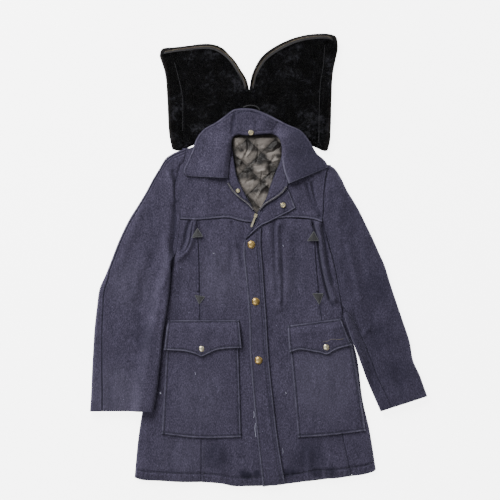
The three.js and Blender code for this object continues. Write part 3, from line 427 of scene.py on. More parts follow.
# Line, height and width of each crease.
CREASES = [
    ([[-160, 98], [-166, 76], [-170, 50], [-180, 26], [-198, 8]], 5.0, 9),
    ([[-172, 99], [-180, 74], [-184, 46], [-194, 24]], -3.0, 5),
    ([[147, 92], [155, 40], [162, -12], [176, -62], [188, -95]], 6.0, 8),
    ([[136, 95], [146, 59], [151, 24], [155, -12], [163, -48], [174, -88], [186, -113]], -3.0, 4.5),
    ([[158, 88], [166, 38], [174, -9], [184, -55]], -2.6, 4.5),
    ([[50, 92], [50, 20], [51, -60], [51, -118]], 3.0, 9),
    ([[40, 95], [39, 30], [40, -17], [45, -90]], -2.2, 5),
    ([[125, 192], [134, 160], [148, 118]], 2.6, 5),
    ([[119, 192], [128, 160], [139, 132], [152, 110]], -3.2, 4),
    ([[131, 196], [138, 160], [146, 128], [160, 106]], -3.0, 3.4),
    ([[135, 91], [145, 62], [150, 19], [162, -45], [176, -95]], -3.6, 2.8),
    ([[-58, 88], [-58, 46]], 1.6, 10),
    ([[-70, 92], [-68, 40], [-74, -30]], -1.0, 8),
    ([[121, -478], [124, -520]], 2.4, 9),
    ([[112, -478], [114, -524]], -1.5, 6),
    ([[-95, -455], [-104, -500], [-98, -535]], 1.4, 12),
    ([[-210, -455], [-222, -500], [-214, -532]], -1.2, 11),
    ([[-66, 94], [-58, 60], [-46, 20], [-42, -14]], -2.2, 5),
    ([[44, 88], [45, 30], [46, -30]], 2.4, 4),
    ([[54, 86], [57, 20], [60, -50], [58, -110]], -1.8, 4),
    ([[-164, 96], [-168, 72], [-172, 46], [-182, 26], [-196, 16]], -3.2, 2.6),
    ([[-205, -20], [-212, -70], [-224, -118]], 1.5, 10),
    ([[-266, -300], [-284, -380], [-300, -519]], -0.9, 2.6),
    ([[-190, 240], [-196, 205], [-190, 165]], -1.6, 8),
    ([[26, 88], [33, 20], [38, -60]], 1.4, 8),
    ([[70, 60], [66, 0], [72, -70]], 1.3, 12),
    ([[-90, 20], [-84, -50], [-92, -120]], 1.3, 14),
    ([[84, 60], [92, -10], [88, -90]], -1.2, 14),
    ([[-110, 70], [-106, 0], [-112, -80]], 1.2, 16),
    ([[-140, 230], [-128, 190], [-134, 140]], 1.4, 12),
    ([[-170, 200], [-160, 160], [-166, 125]], -1.0, 9),
    ([[100, 170], [92, 140], [96, 116]], 1.2, 10),
]
# Middle, size and amount of each patch. The first table holds painted shadows, the second painted light.
PAINTED_SHADOW_PATCHES = [
    (-106, -484, 46, 0.42), (122, -486, 58, 0.42), (92, -512, 34, 0.34), (-40, -531, 13, 0.7),
    (-26, -532, 13, 0.75), (-8, -530, 13, 0.7), (70, -527, 12, 0.65), (84, -524, 13, 0.7),
    (98, -520, 11, 0.5), (146, -529, 16, 0.5), (176, -527, 16, 0.5), (-168, 8, 26, 0.22),
    (18, -130, 30, 0.12), (6, -175, 34, 0.14), (-60, 50, 26, 0.14), (176, -30, 22, 0.2),
    (-284, -190, 46, 0.3), (-300, -70, 36, 0.14), (286, -62, 52, 0.24), (302, -190, 44, 0.24),
    (345, -280, 44, 0.24), (228, 120, 40, 0.12), (-330, -230, 40, 0.1),
]
PAINTED_LIGHT_PATCHES = [
    (-356, -330, 90, 0.09), (-318, -60, 80, 0.05), (160, -300, 120, 0.07), (-92, -40, 90, 0.06),
    (-150, -340, 90, 0.04), (150, -190, 70, 0.05), (-190, -480, 90, 0.04), (60, -50, 60, 0.04),
]
SLEEVE_CREASES = [
    ([[-190, 236], [-200, 206], [-206, 176], [-209, 120], [-211, 62], [-215, 12]], -4.0, 8),
    ([[-224, 215], [-214, 180], [-210, 150]], 3.0, 8),
    ([[-214, 222], [-206, 190], [-204, 160]], -2.6, 5),
    ([[-232, 60], [-228, 0], [-238, -60]], 3.0, 9),
    ([[-262, 40], [-300, -30], [-312, -90]], 1.8, 14),
    ([[-248, 60], [-282, -20], [-292, -88]], -0.8, 11),
    ([[-286, -60], [-300, -130], [-296, -190]], -1.0, 14),
    ([[-336, -40], [-350, -120], [-352, -200]], 1.1, 15),
    ([[-262, -150], [-276, -190], [-300, -212]], 1.0, 10),
    ([[-290, 130], [-318, 60], [-345, -10]], 1.8, 12),
    ([[-272, 140], [-262, 60], [-268, -10]], -1.4, 12),
    ([[-300, -280], [-312, -340], [-306, -372]], 1.6, 12),
    ([[-360, -270], [-372, -330], [-366, -370]], -1.3, 12),
    ([[222, 20], [240, -40], [250, -95]], 3.0, 11),
    ([[210, 40], [226, -20], [236, -80]], -2.0, 7),
    ([[260, -186], [267, -175], [276, -165]], 1.8, 5),
    ([[278, -130], [286, -176], [298, -206], [326, -232], [347, -262], [352, -304]], -2.0, 13),
    ([[312, -140], [322, -180], [344, -212]], 1.2, 12),
    ([[262, -206], [278, -240], [300, -276]], 1.0, 9),
    ([[388, -316], [402, -330]], -1.6, 9),
    ([[236, 60], [252, 20], [262, -30]], -1.4, 10),
    ([[190, 205], [205, 150], [200, 100]], 1.8, 11),
    ([[262, 100], [282, 40], [300, -20]], -1.6, 12),
    ([[322, -296], [350, -330], [366, -352]], 1.5, 10),
]
print("creases:", len(CREASES) + len(SLEEVE_CREASES), "patches:", len(PAINTED_SHADOW_PATCHES) + len(PAINTED_LIGHT_PATCHES))

# %% [markdown]
# A crease is a bell over the distance from its line. Troughs get painted shade, and soft
# patches of painted shadow and painted light break up the plain cloth. The ripple is a sum of
# seven sine waves whose turns and lengths are drawn from a fixed seed.

# %% Crease, tone and ripple


def from_line(x, y, line):
    best = np.full(np.shape(x), 1e9)
    for (ax, ay), (bx, by) in zip(line[:-1], line[1:]):
        k = ((x - ax) * (bx - ax) + (y - ay) * (by - ay)) / ((bx - ax) ** 2 + (by - ay) ** 2)
        k = np.clip(k, 0, 1)
        best = np.minimum(best, np.hypot(x - ax - k * (bx - ax), y - ay - k * (by - ay)))
    return best


def creased(x, y, table):
    total = np.zeros(np.shape(x))
    for line, height, width in table:
        total += CREASE_DEPTH * height * bell(from_line(x, y, line), width)
    return total


def crease_shade(x, y, table):
    """How much painted shade lies at the bottom of each trough."""
    total = np.zeros(np.shape(x))
    for line, height, width in table:
        if height < 0:
            depth = min(1.0, -height / 3.5) * bell(from_line(x, y, line), 0.8 * width)
            total = np.maximum(total, depth)
    return 0.5 * total


def patches(x, y, table):
    """Soft uneven patches from a table: painted shadow from the first, painted light from the second."""
    total = np.zeros(np.shape(x))
    for px, py, size, amount in table:
        spread = np.hypot(x - px, (y - py) * 0.9) + 7 * ripple(x, y, 30, 71)
        total = np.maximum(total, amount * (1 - smooth(0.3 * size, size, spread)))
    return total


def ripple(x, y, size, seed):
    rng = np.random.default_rng(seed)
    total = np.zeros(np.shape(x))
    for _ in range(7):
        turn, phase, stretch = rng.uniform(0, math.pi), rng.uniform(0, TURN), rng.uniform(0.7, 1.6)
        total += np.sin((x * math.cos(turn) + y * math.sin(turn)) * TURN / (size * stretch) + phase)
    return total / 7


print("ripple at the origin:", round(float(ripple(np.array(0.0), np.array(0.0), 150, 3)), 3))

# %% [markdown]
# The fronts lie on the lining and the back. Their upper face is 16 mm above the floor and
# rounds down along the side seams and the hem. Everything that is sewn on a front is made from
# this same height, moved out, so nothing floats and nothing sinks in.

# %% Height of the fronts
BACK_WALL = 3.0
LINING_LOW = 3.4
FRONT_TOP = 16.0
FRONT_WALL = 6.0
SIDE_DROP = 6.3
SIDE_REACH = 15.0
HEM_DROP = 6.0
HEM_REACH = 30.0
LAY_GAP = 0.5
# The sides round down below these heights only, where no sleeve is sewn on.
RIGHT_UNDERARM = (2, 20)
LEFT_UNDERARM = (-140, -122)
BROAD_WAVE = 1.8
SMALL_WAVE = 0.9


def side_distance(x, y):
    right, left = np.array(RIGHT_SIDE), np.array(LEFT_SIDE)
    return x - np.interp(y, right[:, 1], right[:, 0]), np.interp(y, left[:, 1], left[:, 0]) - x


def hem_height(x):
    hem = np.array(HEM_RIGHT_SIDE + HEM_RIGHT_CENTRE[1:] + HEM_LEFT_CENTRE[1:] + HEM_LEFT_SIDE[1:])
    return np.interp(x, hem[:, 0], hem[:, 1])


def lie(x, y):
    right, left = side_distance(x, y)
    side = np.maximum(fall(right, SIDE_REACH) * (1 - smooth(*RIGHT_UNDERARM, y)),
                      fall(left, SIDE_REACH) * (1 - smooth(*LEFT_UNDERARM, y)))
    drop = np.maximum(SIDE_DROP * side, fall(y - hem_height(x), HEM_REACH) * HEM_DROP)
    return FRONT_TOP - drop


def front_height(x, y):
    wave = ripple(x, y, 150, 3) * BROAD_WAVE + ripple(x, 0.45 * y, 48, 4) * SMALL_WAVE
    return lie(x, y) + creased(x, y, CREASES) + wave


print("front height at the chest:", round(float(front_height(np.array(-90.0), np.array(0.0))), 2))

# %% [markdown]
# One function turns a patch into cloth. It lays a grid over the patch, closer at the edges, so
# that the edge rolls over like a real turned seam. A row of stitches pulls a shallow groove
# beside an edge, and the cloth puckers a little between the stitches. The wall closes round
# the rim. Each panel is declared as a sheet with the size that it was cut to.

# %% Grid of a panel
NARROWEST_CUT = 0.0105
# Width of the pale edges of wear and painted highlight, and the painted shade along each panel's edge.
PALE_EDGE_WIDTH = 1.9
EDGE_SHADE = 0.8
made = []
sheets = {}


def steps_for(length, step):
    count = max(3, int(round(length / step)))
    near = np.array([0, 0.5, 1.3, 2.6, 4.4, 6.6, 9.0]) / length
    near = near[near < 0.3]
    middle = np.linspace(near[-1], 1 - near[-1], count)[1:-1]
    return np.concatenate([near, middle, 1 - near[::-1]])


def grid_faces(rows, columns):
    k = np.arange(rows - 1)[:, None] * columns + np.arange(columns - 1)[None]
    k = k.ravel()
    top = np.stack([k, k + 1, k + columns + 1, k + columns], 1)
    half = rows * columns
    low = half + top[:, ::-1]
    j = np.arange(columns - 1)
    e = (rows - 1) * columns + j
    i = np.arange(rows - 1) * columns
    r = i + columns - 1
    rim = [np.stack([half + j, half + j + 1, j + 1, j], 1), np.stack([e, e + 1, half + e + 1, half + e], 1),
           np.stack([half + i + columns, half + i, i, i + columns], 1),
           np.stack([r + columns, r, half + r, half + r + columns], 1)]
    return np.vstack([top, low] + rim)


print("faces of a 3 by 3 grid and its wall:", len(grid_faces(3, 3)))

# %% [markdown]
# The grid becomes a closed mesh and rides the coat's body in place of the plain piece of the
# model. How pale its edges are, as wear and painted highlight, and how much painted shade it
# carries are stored on its points.

# %% Meshes that ride the coat


def linked(name, data):
    obj = bpy.data.objects.new(name, data)
    bpy.context.scene.collection.objects.link(obj)
    return obj


def make_mesh(name, points, faces, material, smooth_limit=40):
    mesh = bpy.data.meshes.new(name)
    mesh.from_pydata(((np.asarray(points) + ORIGIN_SHIFT) * MM).tolist(), [], [list(f) for f in faces])
    mesh.validate()
    mesh.materials.append(material)
    mesh.polygons.foreach_set("use_smooth", [True] * len(mesh.polygons))
    mesh.set_sharp_from_angle(angle=math.radians(smooth_limit))
    return linked(name, mesh)


def shell(name, upper, lower, material, **amounts):
    """A closed wall between two grids; each amount is a grid of values for the upper face."""
    rows, columns = upper.shape[:2]
    points = np.vstack([upper.reshape(-1, 3), lower.reshape(-1, 3)])
    faces = grid_faces(rows, columns)
    a, b, c = points[faces[:, 0]], points[faces[:, 1]], points[faces[:, 2]]
    d = points[faces[:, 3]]
    volume = (a * np.cross(b, c)).sum() + (a * np.cross(c, d)).sum()
    obj = make_mesh(name, points, faces if volume > 0 else faces[:, ::-1], material)
    for label, grid in amounts.items():
        values = np.concatenate([np.clip(grid, 0, 1).ravel(), np.zeros(rows * columns)])
        obj.data.attributes.new(label, "FLOAT", "POINT").data.foreach_set("value", values.astype(np.float32))
    return obj


def ride(obj, nodes=(), body="coat"):
    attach(obj, body)
    if nodes:
        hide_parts(*nodes)
    made.append(obj)
    return obj


def level_at(height):
    return lambda x, y: np.full_like(x, height)


def declare_sheet(obj, upper, rests_on):
    u, v = np.diff(upper, axis=1)[:-1], np.diff(upper, axis=0)[:, :-1]
    area = float(np.linalg.norm(np.cross(u, v), axis=-1).sum()) * 1e-6
    length = float(np.linalg.norm(np.diff(upper[:, upper.shape[1] // 2], axis=0), axis=1).sum()) * MM
    width = max(area / length * 1.03, NARROWEST_CUT)
    sheets[obj.name] = {"flat": (width, length * 1.03), "held": "laid", "rests_on": rests_on, "area": area}


print("a level sheet:", level_at(BACK_WALL)(np.zeros(2), np.zeros(2)))

# %% [markdown]
# Stitches, the pale edges of wear and painted highlight, the painted shade along seams and
# grooves, and the rounded rim all come from the distance to each edge of the patch, so one
# function can make any panel of the coat.

# %% Cloth panels


def stitched(edges, distances, x, y):
    """Depth of the grooves beside the named edges, puckered along their length, and their line."""
    total, line = np.zeros(np.shape(x)), np.zeros(np.shape(x))
    for edge, offset in edges:
        d = distances[edge]
        along = (y if edge in ("left", "right") else x)
        coarse = 0.25 * np.sin(along * TURN / 11 + 2 * np.sin(along / 37))
        pull = 0.85 + coarse + 0.15 * np.sin(along * TURN / 4.3)
        band = bell(d - offset, 1.6)
        total += 0.5 * bell(d - offset / 2, offset / 2.4) - 1.25 * pull * band
        line = np.maximum(line, band * pull)
    return total, line


def edge_tone(near, line, x, y, worn_and_lit, distances, pale_edge_width=PALE_EDGE_WIDTH, edge_shade=EDGE_SHADE):
    """How pale the pressed edges are, as wear and painted highlight, and the painted shade in the groove
    beside them and along the seam itself.
    """
    uneven = np.clip(0.75 + 0.9 * ripple(x, y, 34, 61) + 0.35 * ripple(x, y, 9, 62), 0, 1)
    wear = np.zeros(np.shape(x))
    for edge, amount in worn_and_lit:
        wear = np.maximum(wear, amount * uneven * bell(distances[edge] - 2.2, pale_edge_width))
    groove = 0.55 * line + edge_shade * bell(near, 1.3)
    return wear, groove


def panel_grid(surface, step, inset):
    """Points of a patch, closer at its edges, with their shares and their distance from each edge."""
    centre = surface(np.array([0, 0.5, 1]), np.array([0, 0.5, 1]))
    width = max(np.linalg.norm(centre[1, 2] - centre[1, 0]), 4)
    length = max(np.linalg.norm(centre[2, 1] - centre[1, 1]) + np.linalg.norm(centre[1, 1] - centre[0, 1]), 4)
    s, t = steps_for(width, step), steps_for(length, step)
    e, f = inset / width, inset / length
    flat = surface(e + (1 - 2 * e) * s, f + (1 - 2 * f) * t)
    across = np.linalg.norm(flat[:, -1] - flat[:, 0], axis=-1)[:, None]
    upright = np.linalg.norm(np.diff(flat, axis=0), axis=-1).sum(0)[None]
    ss, tt = np.meshgrid(s, t)
    distances = {"left": ss * across, "right": (1 - ss) * across, "bottom": tt * upright,
                 "top": (1 - tt) * upright}
    return flat, ss, tt, distances


def panel(name, surface, height, low, nodes, material=None, step=4.0, round_off=1.5, roll=3.0,
          stitches=(), inset=0.15, rests_on=("back",), extra=None, worn_and_lit=(), toned=False,
          pale_edge_width=PALE_EDGE_WIDTH, edge_shade=EDGE_SHADE):
    flat, ss, tt, distances = panel_grid(surface, step, inset)
    x, y = flat[..., 0], flat[..., 1]
    near = np.minimum.reduce(list(distances.values()))
    sunk, line = stitched(stitches, distances, x, y)
    z = height(x, y) + sunk
    if extra is not None:
        z = z + extra(x, y, ss, tt)
    z = z - round_off * (1 - np.sqrt(1 - np.clip(1 - near / roll, 0, 1) ** 2))
    base = low(x, y) if callable(low) else height(x, y) - low
    base = np.minimum(base, z - 0.8)
    upper, lower = np.dstack([x, y, z]), np.dstack([x, y, base])
    wear, groove = edge_tone(near, line, x, y, worn_and_lit, distances, pale_edge_width, edge_shade)
    # Toned panels get painted shade in their troughs and shadow patches, and painted light in pale patches.
    if toned:
        groove = np.maximum(groove, np.maximum(crease_shade(x, y, CREASES), patches(x, y, PAINTED_SHADOW_PATCHES)))
        wear = np.maximum(wear, patches(x, y, PAINTED_LIGHT_PATCHES))
    obj = ride(shell(name, upper, lower, material or wool, wear=wear, groove=groove), nodes)
    declare_sheet(obj, upper, list(rests_on))
    return obj


print("panel maker ready")

# %% [markdown]
# The back lies face down on the floor under everything. Only its edge shows from above, and
# its flat underside from below, with the centre seam pressed in.

# %% Back


def back_panel():
    outline = inside(
        RIGHT_SIDE + RIGHT_ARMHOLE_LOW[1:] + RIGHT_ARMHOLE_HIGH[1:],
        LEFT_SIDE + LEFT_ARMHOLE_LOW[1:] + LEFT_ARMHOLE_HIGH[1:],
        [[-311, -540], [-246, -549], [-144, -552], [-22, -562], [66, -557], [187, -543], [292, -520]],
        RIGHT_SHOULDER + NECK_SEAM[1:] + LEFT_SHOULDER[1:])

    def underside(x, y):
        return 0.5 * bell(x + 8, 2.2) + 0.3 * bell(y - 150 + x * 0.02, 2.2)
    panel("back_cloth", outline, level_at(BACK_WALL), underside, ["back"],
          step=9.0, round_off=1.0, inset=1.0, rests_on=[])


back_panel()
print("back made:", [o.name for o in made])

# %% [markdown]
# The quilted lining shows in the open neck. Its stitch lines cross at 45 degrees and make
# 50 mm squares. Between the lines the wadding pushes the satin up; the power of a sine gives
# that full pillow with a sharp valley. The padding pulls fine wrinkles out of each line. The
# lower half of each pillow gets a painted highlight; the upper half gets painted shade, with a
# darker painted line down its middle, and so do a few spots. The stitch lines are painted dark
# as shade too.

# %% Quilted lining
QUILT_SQUARE = 50.0
QUILT_CROSSING = (6.0, 270.8)
TUCKED_TOP = 9.4
OPENING_RIGHT = [[-8, 106], [-22, 142], [-40, 174], [-52, 207], [-62, 257], [-62, 300]]
OPENING_LEFT = [[2, 106], [16, 142], [30, 186], [42, 224], [54, 257], [54, 300]]
# Middle and size of each spot of painted shade on the satin.
LINING_SHADES = [(10, 262, 10), (26, 232, 11), (-20, 231, 9), (-56, 238, 8), (48, 262, 8), (2, 246, 8),
                 (-12, 205, 6), (12, 198, 7), (-44, 276, 6), (-6, 176, 5), (36, 286, 7)]
LINING_FOLDS = [
    ([[-30, 300], [-28, 280], [-34, 264]], -2.0, 1.8), ([[-4, 290], [-2, 270], [-8, 246]], -1.8, 1.6),
    ([[52, 284], [34, 274], [20, 270]], -2.0, 1.8), ([[8, 222], [4, 204], [6, 190]], -1.8, 1.6),
    ([[36, 222], [22, 214], [10, 216]], -1.6, 1.6), ([[-48, 228], [-36, 220], [-26, 222]], -1.8, 1.7),
    ([[-54, 290], [-40, 268], [-48, 240]], 2.6, 4), ([[-58, 262], [-36, 252], [-20, 238]], 1.8, 3.5),
    ([[44, 292], [30, 276], [10, 282]], 2.2, 4), ([[40, 262], [26, 240], [30, 214]], -2.0, 3.5),
    ([[-22, 232], [-4, 222], [14, 226]], 2.0, 3.5), ([[-30, 198], [-12, 206], [4, 196]], -1.8, 3),
    ([[20, 190], [6, 178], [-4, 160]], 2.0, 3.5), ([[-18, 172], [-6, 158], [2, 138]], -1.6, 3),
    ([[-12, 300], [-16, 280], [-30, 262]], 2.0, 3.5), ([[14, 252], [34, 248], [46, 252]], 1.8, 3),
]
print("sunk spots:", len(LINING_SHADES), "folds:", len(LINING_FOLDS))

# %% [markdown]
# Two counts of squares, one along each diagonal, give everything: the height of the pillow, the
# painted shade of the valleys and the painted highlight of the pillows.

# %% Height and gleam of the satin


def quilt_shares(x, y):
    a = (x - QUILT_CROSSING[0] + y - QUILT_CROSSING[1]) / math.sqrt(2) / QUILT_SQUARE
    b = (x - QUILT_CROSSING[0] - y + QUILT_CROSSING[1]) / math.sqrt(2) / QUILT_SQUARE
    return a, b


def opening_share(x, y):
    """1 in the open neck, 0 where the fronts cover the lining."""
    right, left = np.array(OPENING_RIGHT), np.array(OPENING_LEFT)
    inside_by = np.minimum(x - np.interp(y, right[:, 1], right[:, 0]),
                           np.interp(y, left[:, 1], left[:, 0]) - x)
    return smooth(-5, 4, inside_by) * smooth(100, 118, y) * (1 - smooth(305, 312, y))


def lining_height(x, y):
    """Height of the satin, its painted shade in the stitch lines, the upper halves and the spots, and its
    painted highlight.
    """
    wander = ripple(x, y, 46, 8) * 0.045
    a, b = quilt_shares(x, y)
    pillow = np.abs(np.sin(math.pi * (a + wander)) * np.sin(math.pi * (b - wander))) ** 0.5
    fine = ripple(x, 1.3 * y, 11, 10) * 0.5
    pulled = ripple(0.55 * x + 0.2 * y, 1.1 * y, 19, 9) * (1.2 - 0.6 * pillow) + fine
    folds = creased(x, y, LINING_FOLDS)
    shown = opening_share(x, y)
    height = TUCKED_TOP - 2.6 + (4.4 * pillow + 1.1 * pulled + folds + 0.4) * shown
    line = np.minimum(np.abs(a + wander - np.round(a + wander)), np.abs(b - wander - np.round(b - wander)))
    # The stitch lines, a line down the middle of each upper half and the listed spots get painted shade.
    valley = bell(line * QUILT_SQUARE, 1.3) * shown
    upward = (a - np.floor(a)) - (b - np.floor(b))
    sideways = (a - np.floor(a)) + (b - np.floor(b)) - 1
    uneven = np.clip(0.6 + ripple(x, y, 31, 13), 0, 1)
    dark = 0.9 * bell(sideways, 0.09) * smooth(0.08, 0.3, upward) * uneven
    for px, py, size in LINING_SHADES:
        dark = np.maximum(dark, np.exp(-((np.hypot(x - px, 1.2 * (y - py)) / size) ** 4)))
    valley = np.maximum(valley, 0.75 * dark * shown)
    # Painted highlight on the lower half of each pillow, dimmed where the painted shade lies.
    facet = 0.5 * np.tanh(7 * (upward - 0.1)) + 0.1 * upward
    gleam = np.clip(0.5 - facet + 0.3 * ripple(x, y, 60, 12) + 0.25 * pulled, 0, 1) * pillow ** 0.55 * shown
    return height, valley, gleam * (1 - 0.9 * dark)


def lining_panel():
    outline = inside(
        [[-288, -508], [-272, -380], [-246, -230], [-222, -100], [-199, 15], [-189, 104], [-190, 175],
         [-172, 270]],
        [[266, -490], [240, -370], [220, -230], [190, -120], [180, -20], [151, 96], [155, 173], [163, 230]],
        [[-288, -508], [-144, -520], [39, -528], [150, -512], [266, -490]],
        [[-172, 270], [-77, 312], [-8, 313], [60, 312], [163, 230]])
    s = np.concatenate([np.linspace(0, 0.3, 7), np.linspace(0.32, 0.72, 118), np.linspace(0.76, 1, 7)])
    t = np.concatenate([np.linspace(0, 0.7, 26), np.linspace(0.715, 1, 150)])
    flat = outline(s, t)
    x, y = flat[..., 0], flat[..., 1]
    height, valley, gleam = lining_height(x, y)
    upper = np.dstack([x, y, np.clip(height, LINING_LOW + 1.2, 17.5)])
    lower = np.dstack([x, y, np.full_like(x, LINING_LOW)])
    obj = ride(shell("lining_satin", upper, lower, satin, groove=valley, wear=gleam), ["back_lining"])
    declare_sheet(obj, upper, ["back"])


lining_panel()
print("lining made")

# %% [markdown]
# The fronts are cut in four panels with two yokes above. Each front panel is a patch between
# its seams. The padded lining is part of their wall. The hem is turned up and stitched, which
# leaves a groove 23 mm above the edge with small puckers on each side.

# %% Fronts and yokes
HEM_GROOVE = 23
HEM_PUCKER = 13


def front_low(x, y):
    return lie(x, y) - FRONT_WALL


def hem_stitch(x, y, s, t):
    d = y - hem_height(x)
    pucker = 0.55 * np.sin(x * TURN / 13 + 2.2 * np.sin(x / 41)) + 0.3 * np.sin(x * TURN / 7.1)
    return (-2.8 + pucker) * bell(d - HEM_GROOVE, 2.6) + 1.7 * pucker * bell(d - HEM_PUCKER, 9)


def build_fronts():
    panels = [
        ("front_side_right", RIGHT_SIDE + RIGHT_ARMHOLE_LOW[1:], RIGHT_PANEL_SEAM,
         HEM_RIGHT_SIDE, YOKE_SEAM_RIGHT_SIDE),
        ("front_centre_right", RIGHT_PANEL_SEAM, FRONT_MIDDLE, HEM_RIGHT_CENTRE, YOKE_SEAM_RIGHT_CENTRE),
        ("front_centre_left", FRONT_MIDDLE, LEFT_PANEL_SEAM, HEM_LEFT_CENTRE, YOKE_SEAM_LEFT_CENTRE),
        ("front_side_left", LEFT_PANEL_SEAM, LEFT_SIDE + LEFT_ARMHOLE_LOW[1:],
         HEM_LEFT_SIDE, YOKE_SEAM_LEFT_SIDE),
    ]
    for name, left, right, bottom, top in panels:
        panel(name + "_wool", inside(left, right, bottom, top), front_height, front_low, [name],
              extra=hem_stitch, rests_on=["back_lining"], step=3.4, toned=True, edge_shade=0.5)


def lapped(x, y, s, t):
    return 1.9 * (1 - smooth(0.0, 0.16, t))


def build_yokes():
    right = inside(RIGHT_ARMHOLE_HIGH, RIGHT_ROLL,
                   YOKE_SEAM_RIGHT_SIDE + YOKE_SEAM_RIGHT_CENTRE[1:], RIGHT_SHOULDER)
    left = inside(LEFT_ROLL, LEFT_ARMHOLE_HIGH,
                  YOKE_SEAM_LEFT_CENTRE + YOKE_SEAM_LEFT_SIDE[1:], LEFT_SHOULDER)
    panel("yoke_right_wool", right, front_height, front_low, ["yoke_right"], stitches=(("bottom", 7),),
          extra=lapped, rests_on=["back_lining"], roll=2.0, worn_and_lit=(("bottom", 0.3),), toned=True)
    panel("yoke_left_wool", left, front_height, front_low, ["yoke_left"], stitches=(("bottom", 7),),
          extra=lapped, rests_on=["back_lining"], roll=2.0, worn_and_lit=(("bottom", 0.3),), toned=True)


build_fronts()
build_yokes()
print("fronts and yokes made")

# %% [markdown]
# The fly placket hides the zip and carries the dome snaps. Above the top snap it folds open as
# a lapel, and the front edges turn back as facings with the zip teeth on their rims.

# %% Placket, lapel and facings
FACING_WALL = 4.0
PLACKET_WALL = 4.5
LAPEL_WALL = 4.5
RIGHT_FACING_ROLL = [[-12, 123.5], [-18, 135], [-30, 157], [-38, 173], [-54, 207], [-60, 235], [-64, 262]]
RIGHT_FACING_ZIP = [[-15, 126], [-31, 143], [-49, 156], [-67, 173], [-80, 192], [-86, 226], [-88, 258]]
LEFT_FACING_ROLL = [[1, 124.5], [9, 139], [20, 160], [29, 188], [43, 224], [51, 243], [55.5, 262]]
LEFT_FACING_ZIP = [[3, 127], [17, 141], [40, 155], [58, 168], [71, 183], [75, 205], [77, 256]]
LAPEL_FREE = [[-33, 53], [-20, 66], [-8, 77], [6, 87.5], [24, 96], [40, 104], [56, 112], [72, 120], [92, 131]]
LAPEL_ZIP = [[-35, 57], [-19.5, 79], [-8, 96], [-0.5, 113], [5, 124], [20, 138], [42, 152], [60, 165],
             [73, 179]]


def on_front(x, y):
    return front_height(x, y) + LAY_GAP


def laid(wall):
    return lambda x, y: on_front(x, y) + wall


def build_closure():
    panel("placket_wool", ribbon(PLACKET_RIGHT_EDGE, PLACKET_LEFT_EDGE), laid(PLACKET_WALL), on_front,
          ["placket"], stitches=(("left", 5), ("right", 6), ("right", 12)), roll=4, round_off=2.8,
          step=3.0, worn_and_lit=(("left", 0.4), ("right", 0.3)), toned=True,
          extra=lambda x, y, s, t: hem_stitch(x, y, s, t) * 0.5, rests_on=["front_centre_right"])
    panel("fly_lapel_wool", ribbon(LAPEL_FREE, LAPEL_ZIP), laid(LAPEL_WALL), on_front, ["fly_lapel"],
          stitches=(("left", 5), ("right", 4), ("top", 5)), roll=4, round_off=2.8, step=2.5,
          rests_on=["yoke_left"], worn_and_lit=(("left", 0.4), ("top", 0.5)))
    panel("facing_right_wool", ribbon(RIGHT_FACING_ZIP, RIGHT_FACING_ROLL), laid(FACING_WALL), on_front,
          ["facing_right"], stitches=(("left", 8),), roll=4, round_off=3.0, step=2.5, inset=0.3,
          rests_on=["yoke_right"])
    panel("facing_left_wool", ribbon(LEFT_FACING_ROLL, LEFT_FACING_ZIP), laid(FACING_WALL), on_front,
          ["facing_left"], stitches=(("right", 8),), roll=4, round_off=3.0, step=2.5, inset=0.3,
          rests_on=["yoke_left"])


build_closure()
print("closure made")

# %% [markdown]
# Patch pockets are squares of the same wool with two stitched edges, a little fuller in the
# middle. The flap is a scalloped shape with a point under its snap; it lies on the front at its
# sewn edge and steps up onto the pocket.

# %% Pockets, flaps and welts
POCKET_WALL = 4.0
FLAP_WALL = 4.0
FLAP_RISE = 24.0
POCKET_STITCH = 6.5
FLAP_STITCH = 6
FLAP_TOP_STITCH = 5
POCKETS = {
    "pocket_right": ([[-243, -431], [-229, -174]], [[-44, -439], [-48, -300], [-52, -174]],
                     [[-243, -431], [-150, -441], [-44, -439]], [[-229, -174], [-52, -174]]),
    "pocket_left": ([[96, -440], [86, -320], [73, -186]], [[266, -423], [235, -225], [224, -188]],
                    [[96, -440], [180, -434], [266, -423]], [[73, -186], [224, -188]]),
}
FLAPS = {
    "flap_right": ([[-237, -222], [-228, -146]], [[-42, -217], [-49, -146]],
                   [[-237, -222], [-214, -223], [-185, -225], [-158, -232], [-143, -238], [-127, -231],
                    [-106, -222], [-79, -218], [-42, -217]], [[-228, -146], [-49, -146]]),
    "flap_left": ([[75, -228], [72, -196], [70, -160]], [[231, -210], [221, -186], [204, -142]],
                  [[75, -228], [101, -221], [136, -226], [153, -229], [169, -233], [182, -226], [199, -218],
                   [231, -210]], [[70, -160], [130, -152], [204, -142]]),
}
WELTS = {
    "welt_right": ([[-156, -76], [-157, -15], [-159, 46]], [[-148, -76], [-149, -15], [-151, 46]]),
    "welt_left": ([[141.5, -76], [135.5, -15], [131.5, 43]], [[149, -76], [143, -15], [139, 43]]),
}


def flap_low(x, y):
    sewn = np.where(x < 0, -146.0, -160 + 18 * np.clip((x - 70) / 134, 0, 1))
    return on_front(x, y) + 0.3 + (POCKET_WALL + 1.6) * smooth(0, FLAP_RISE, sewn - y)


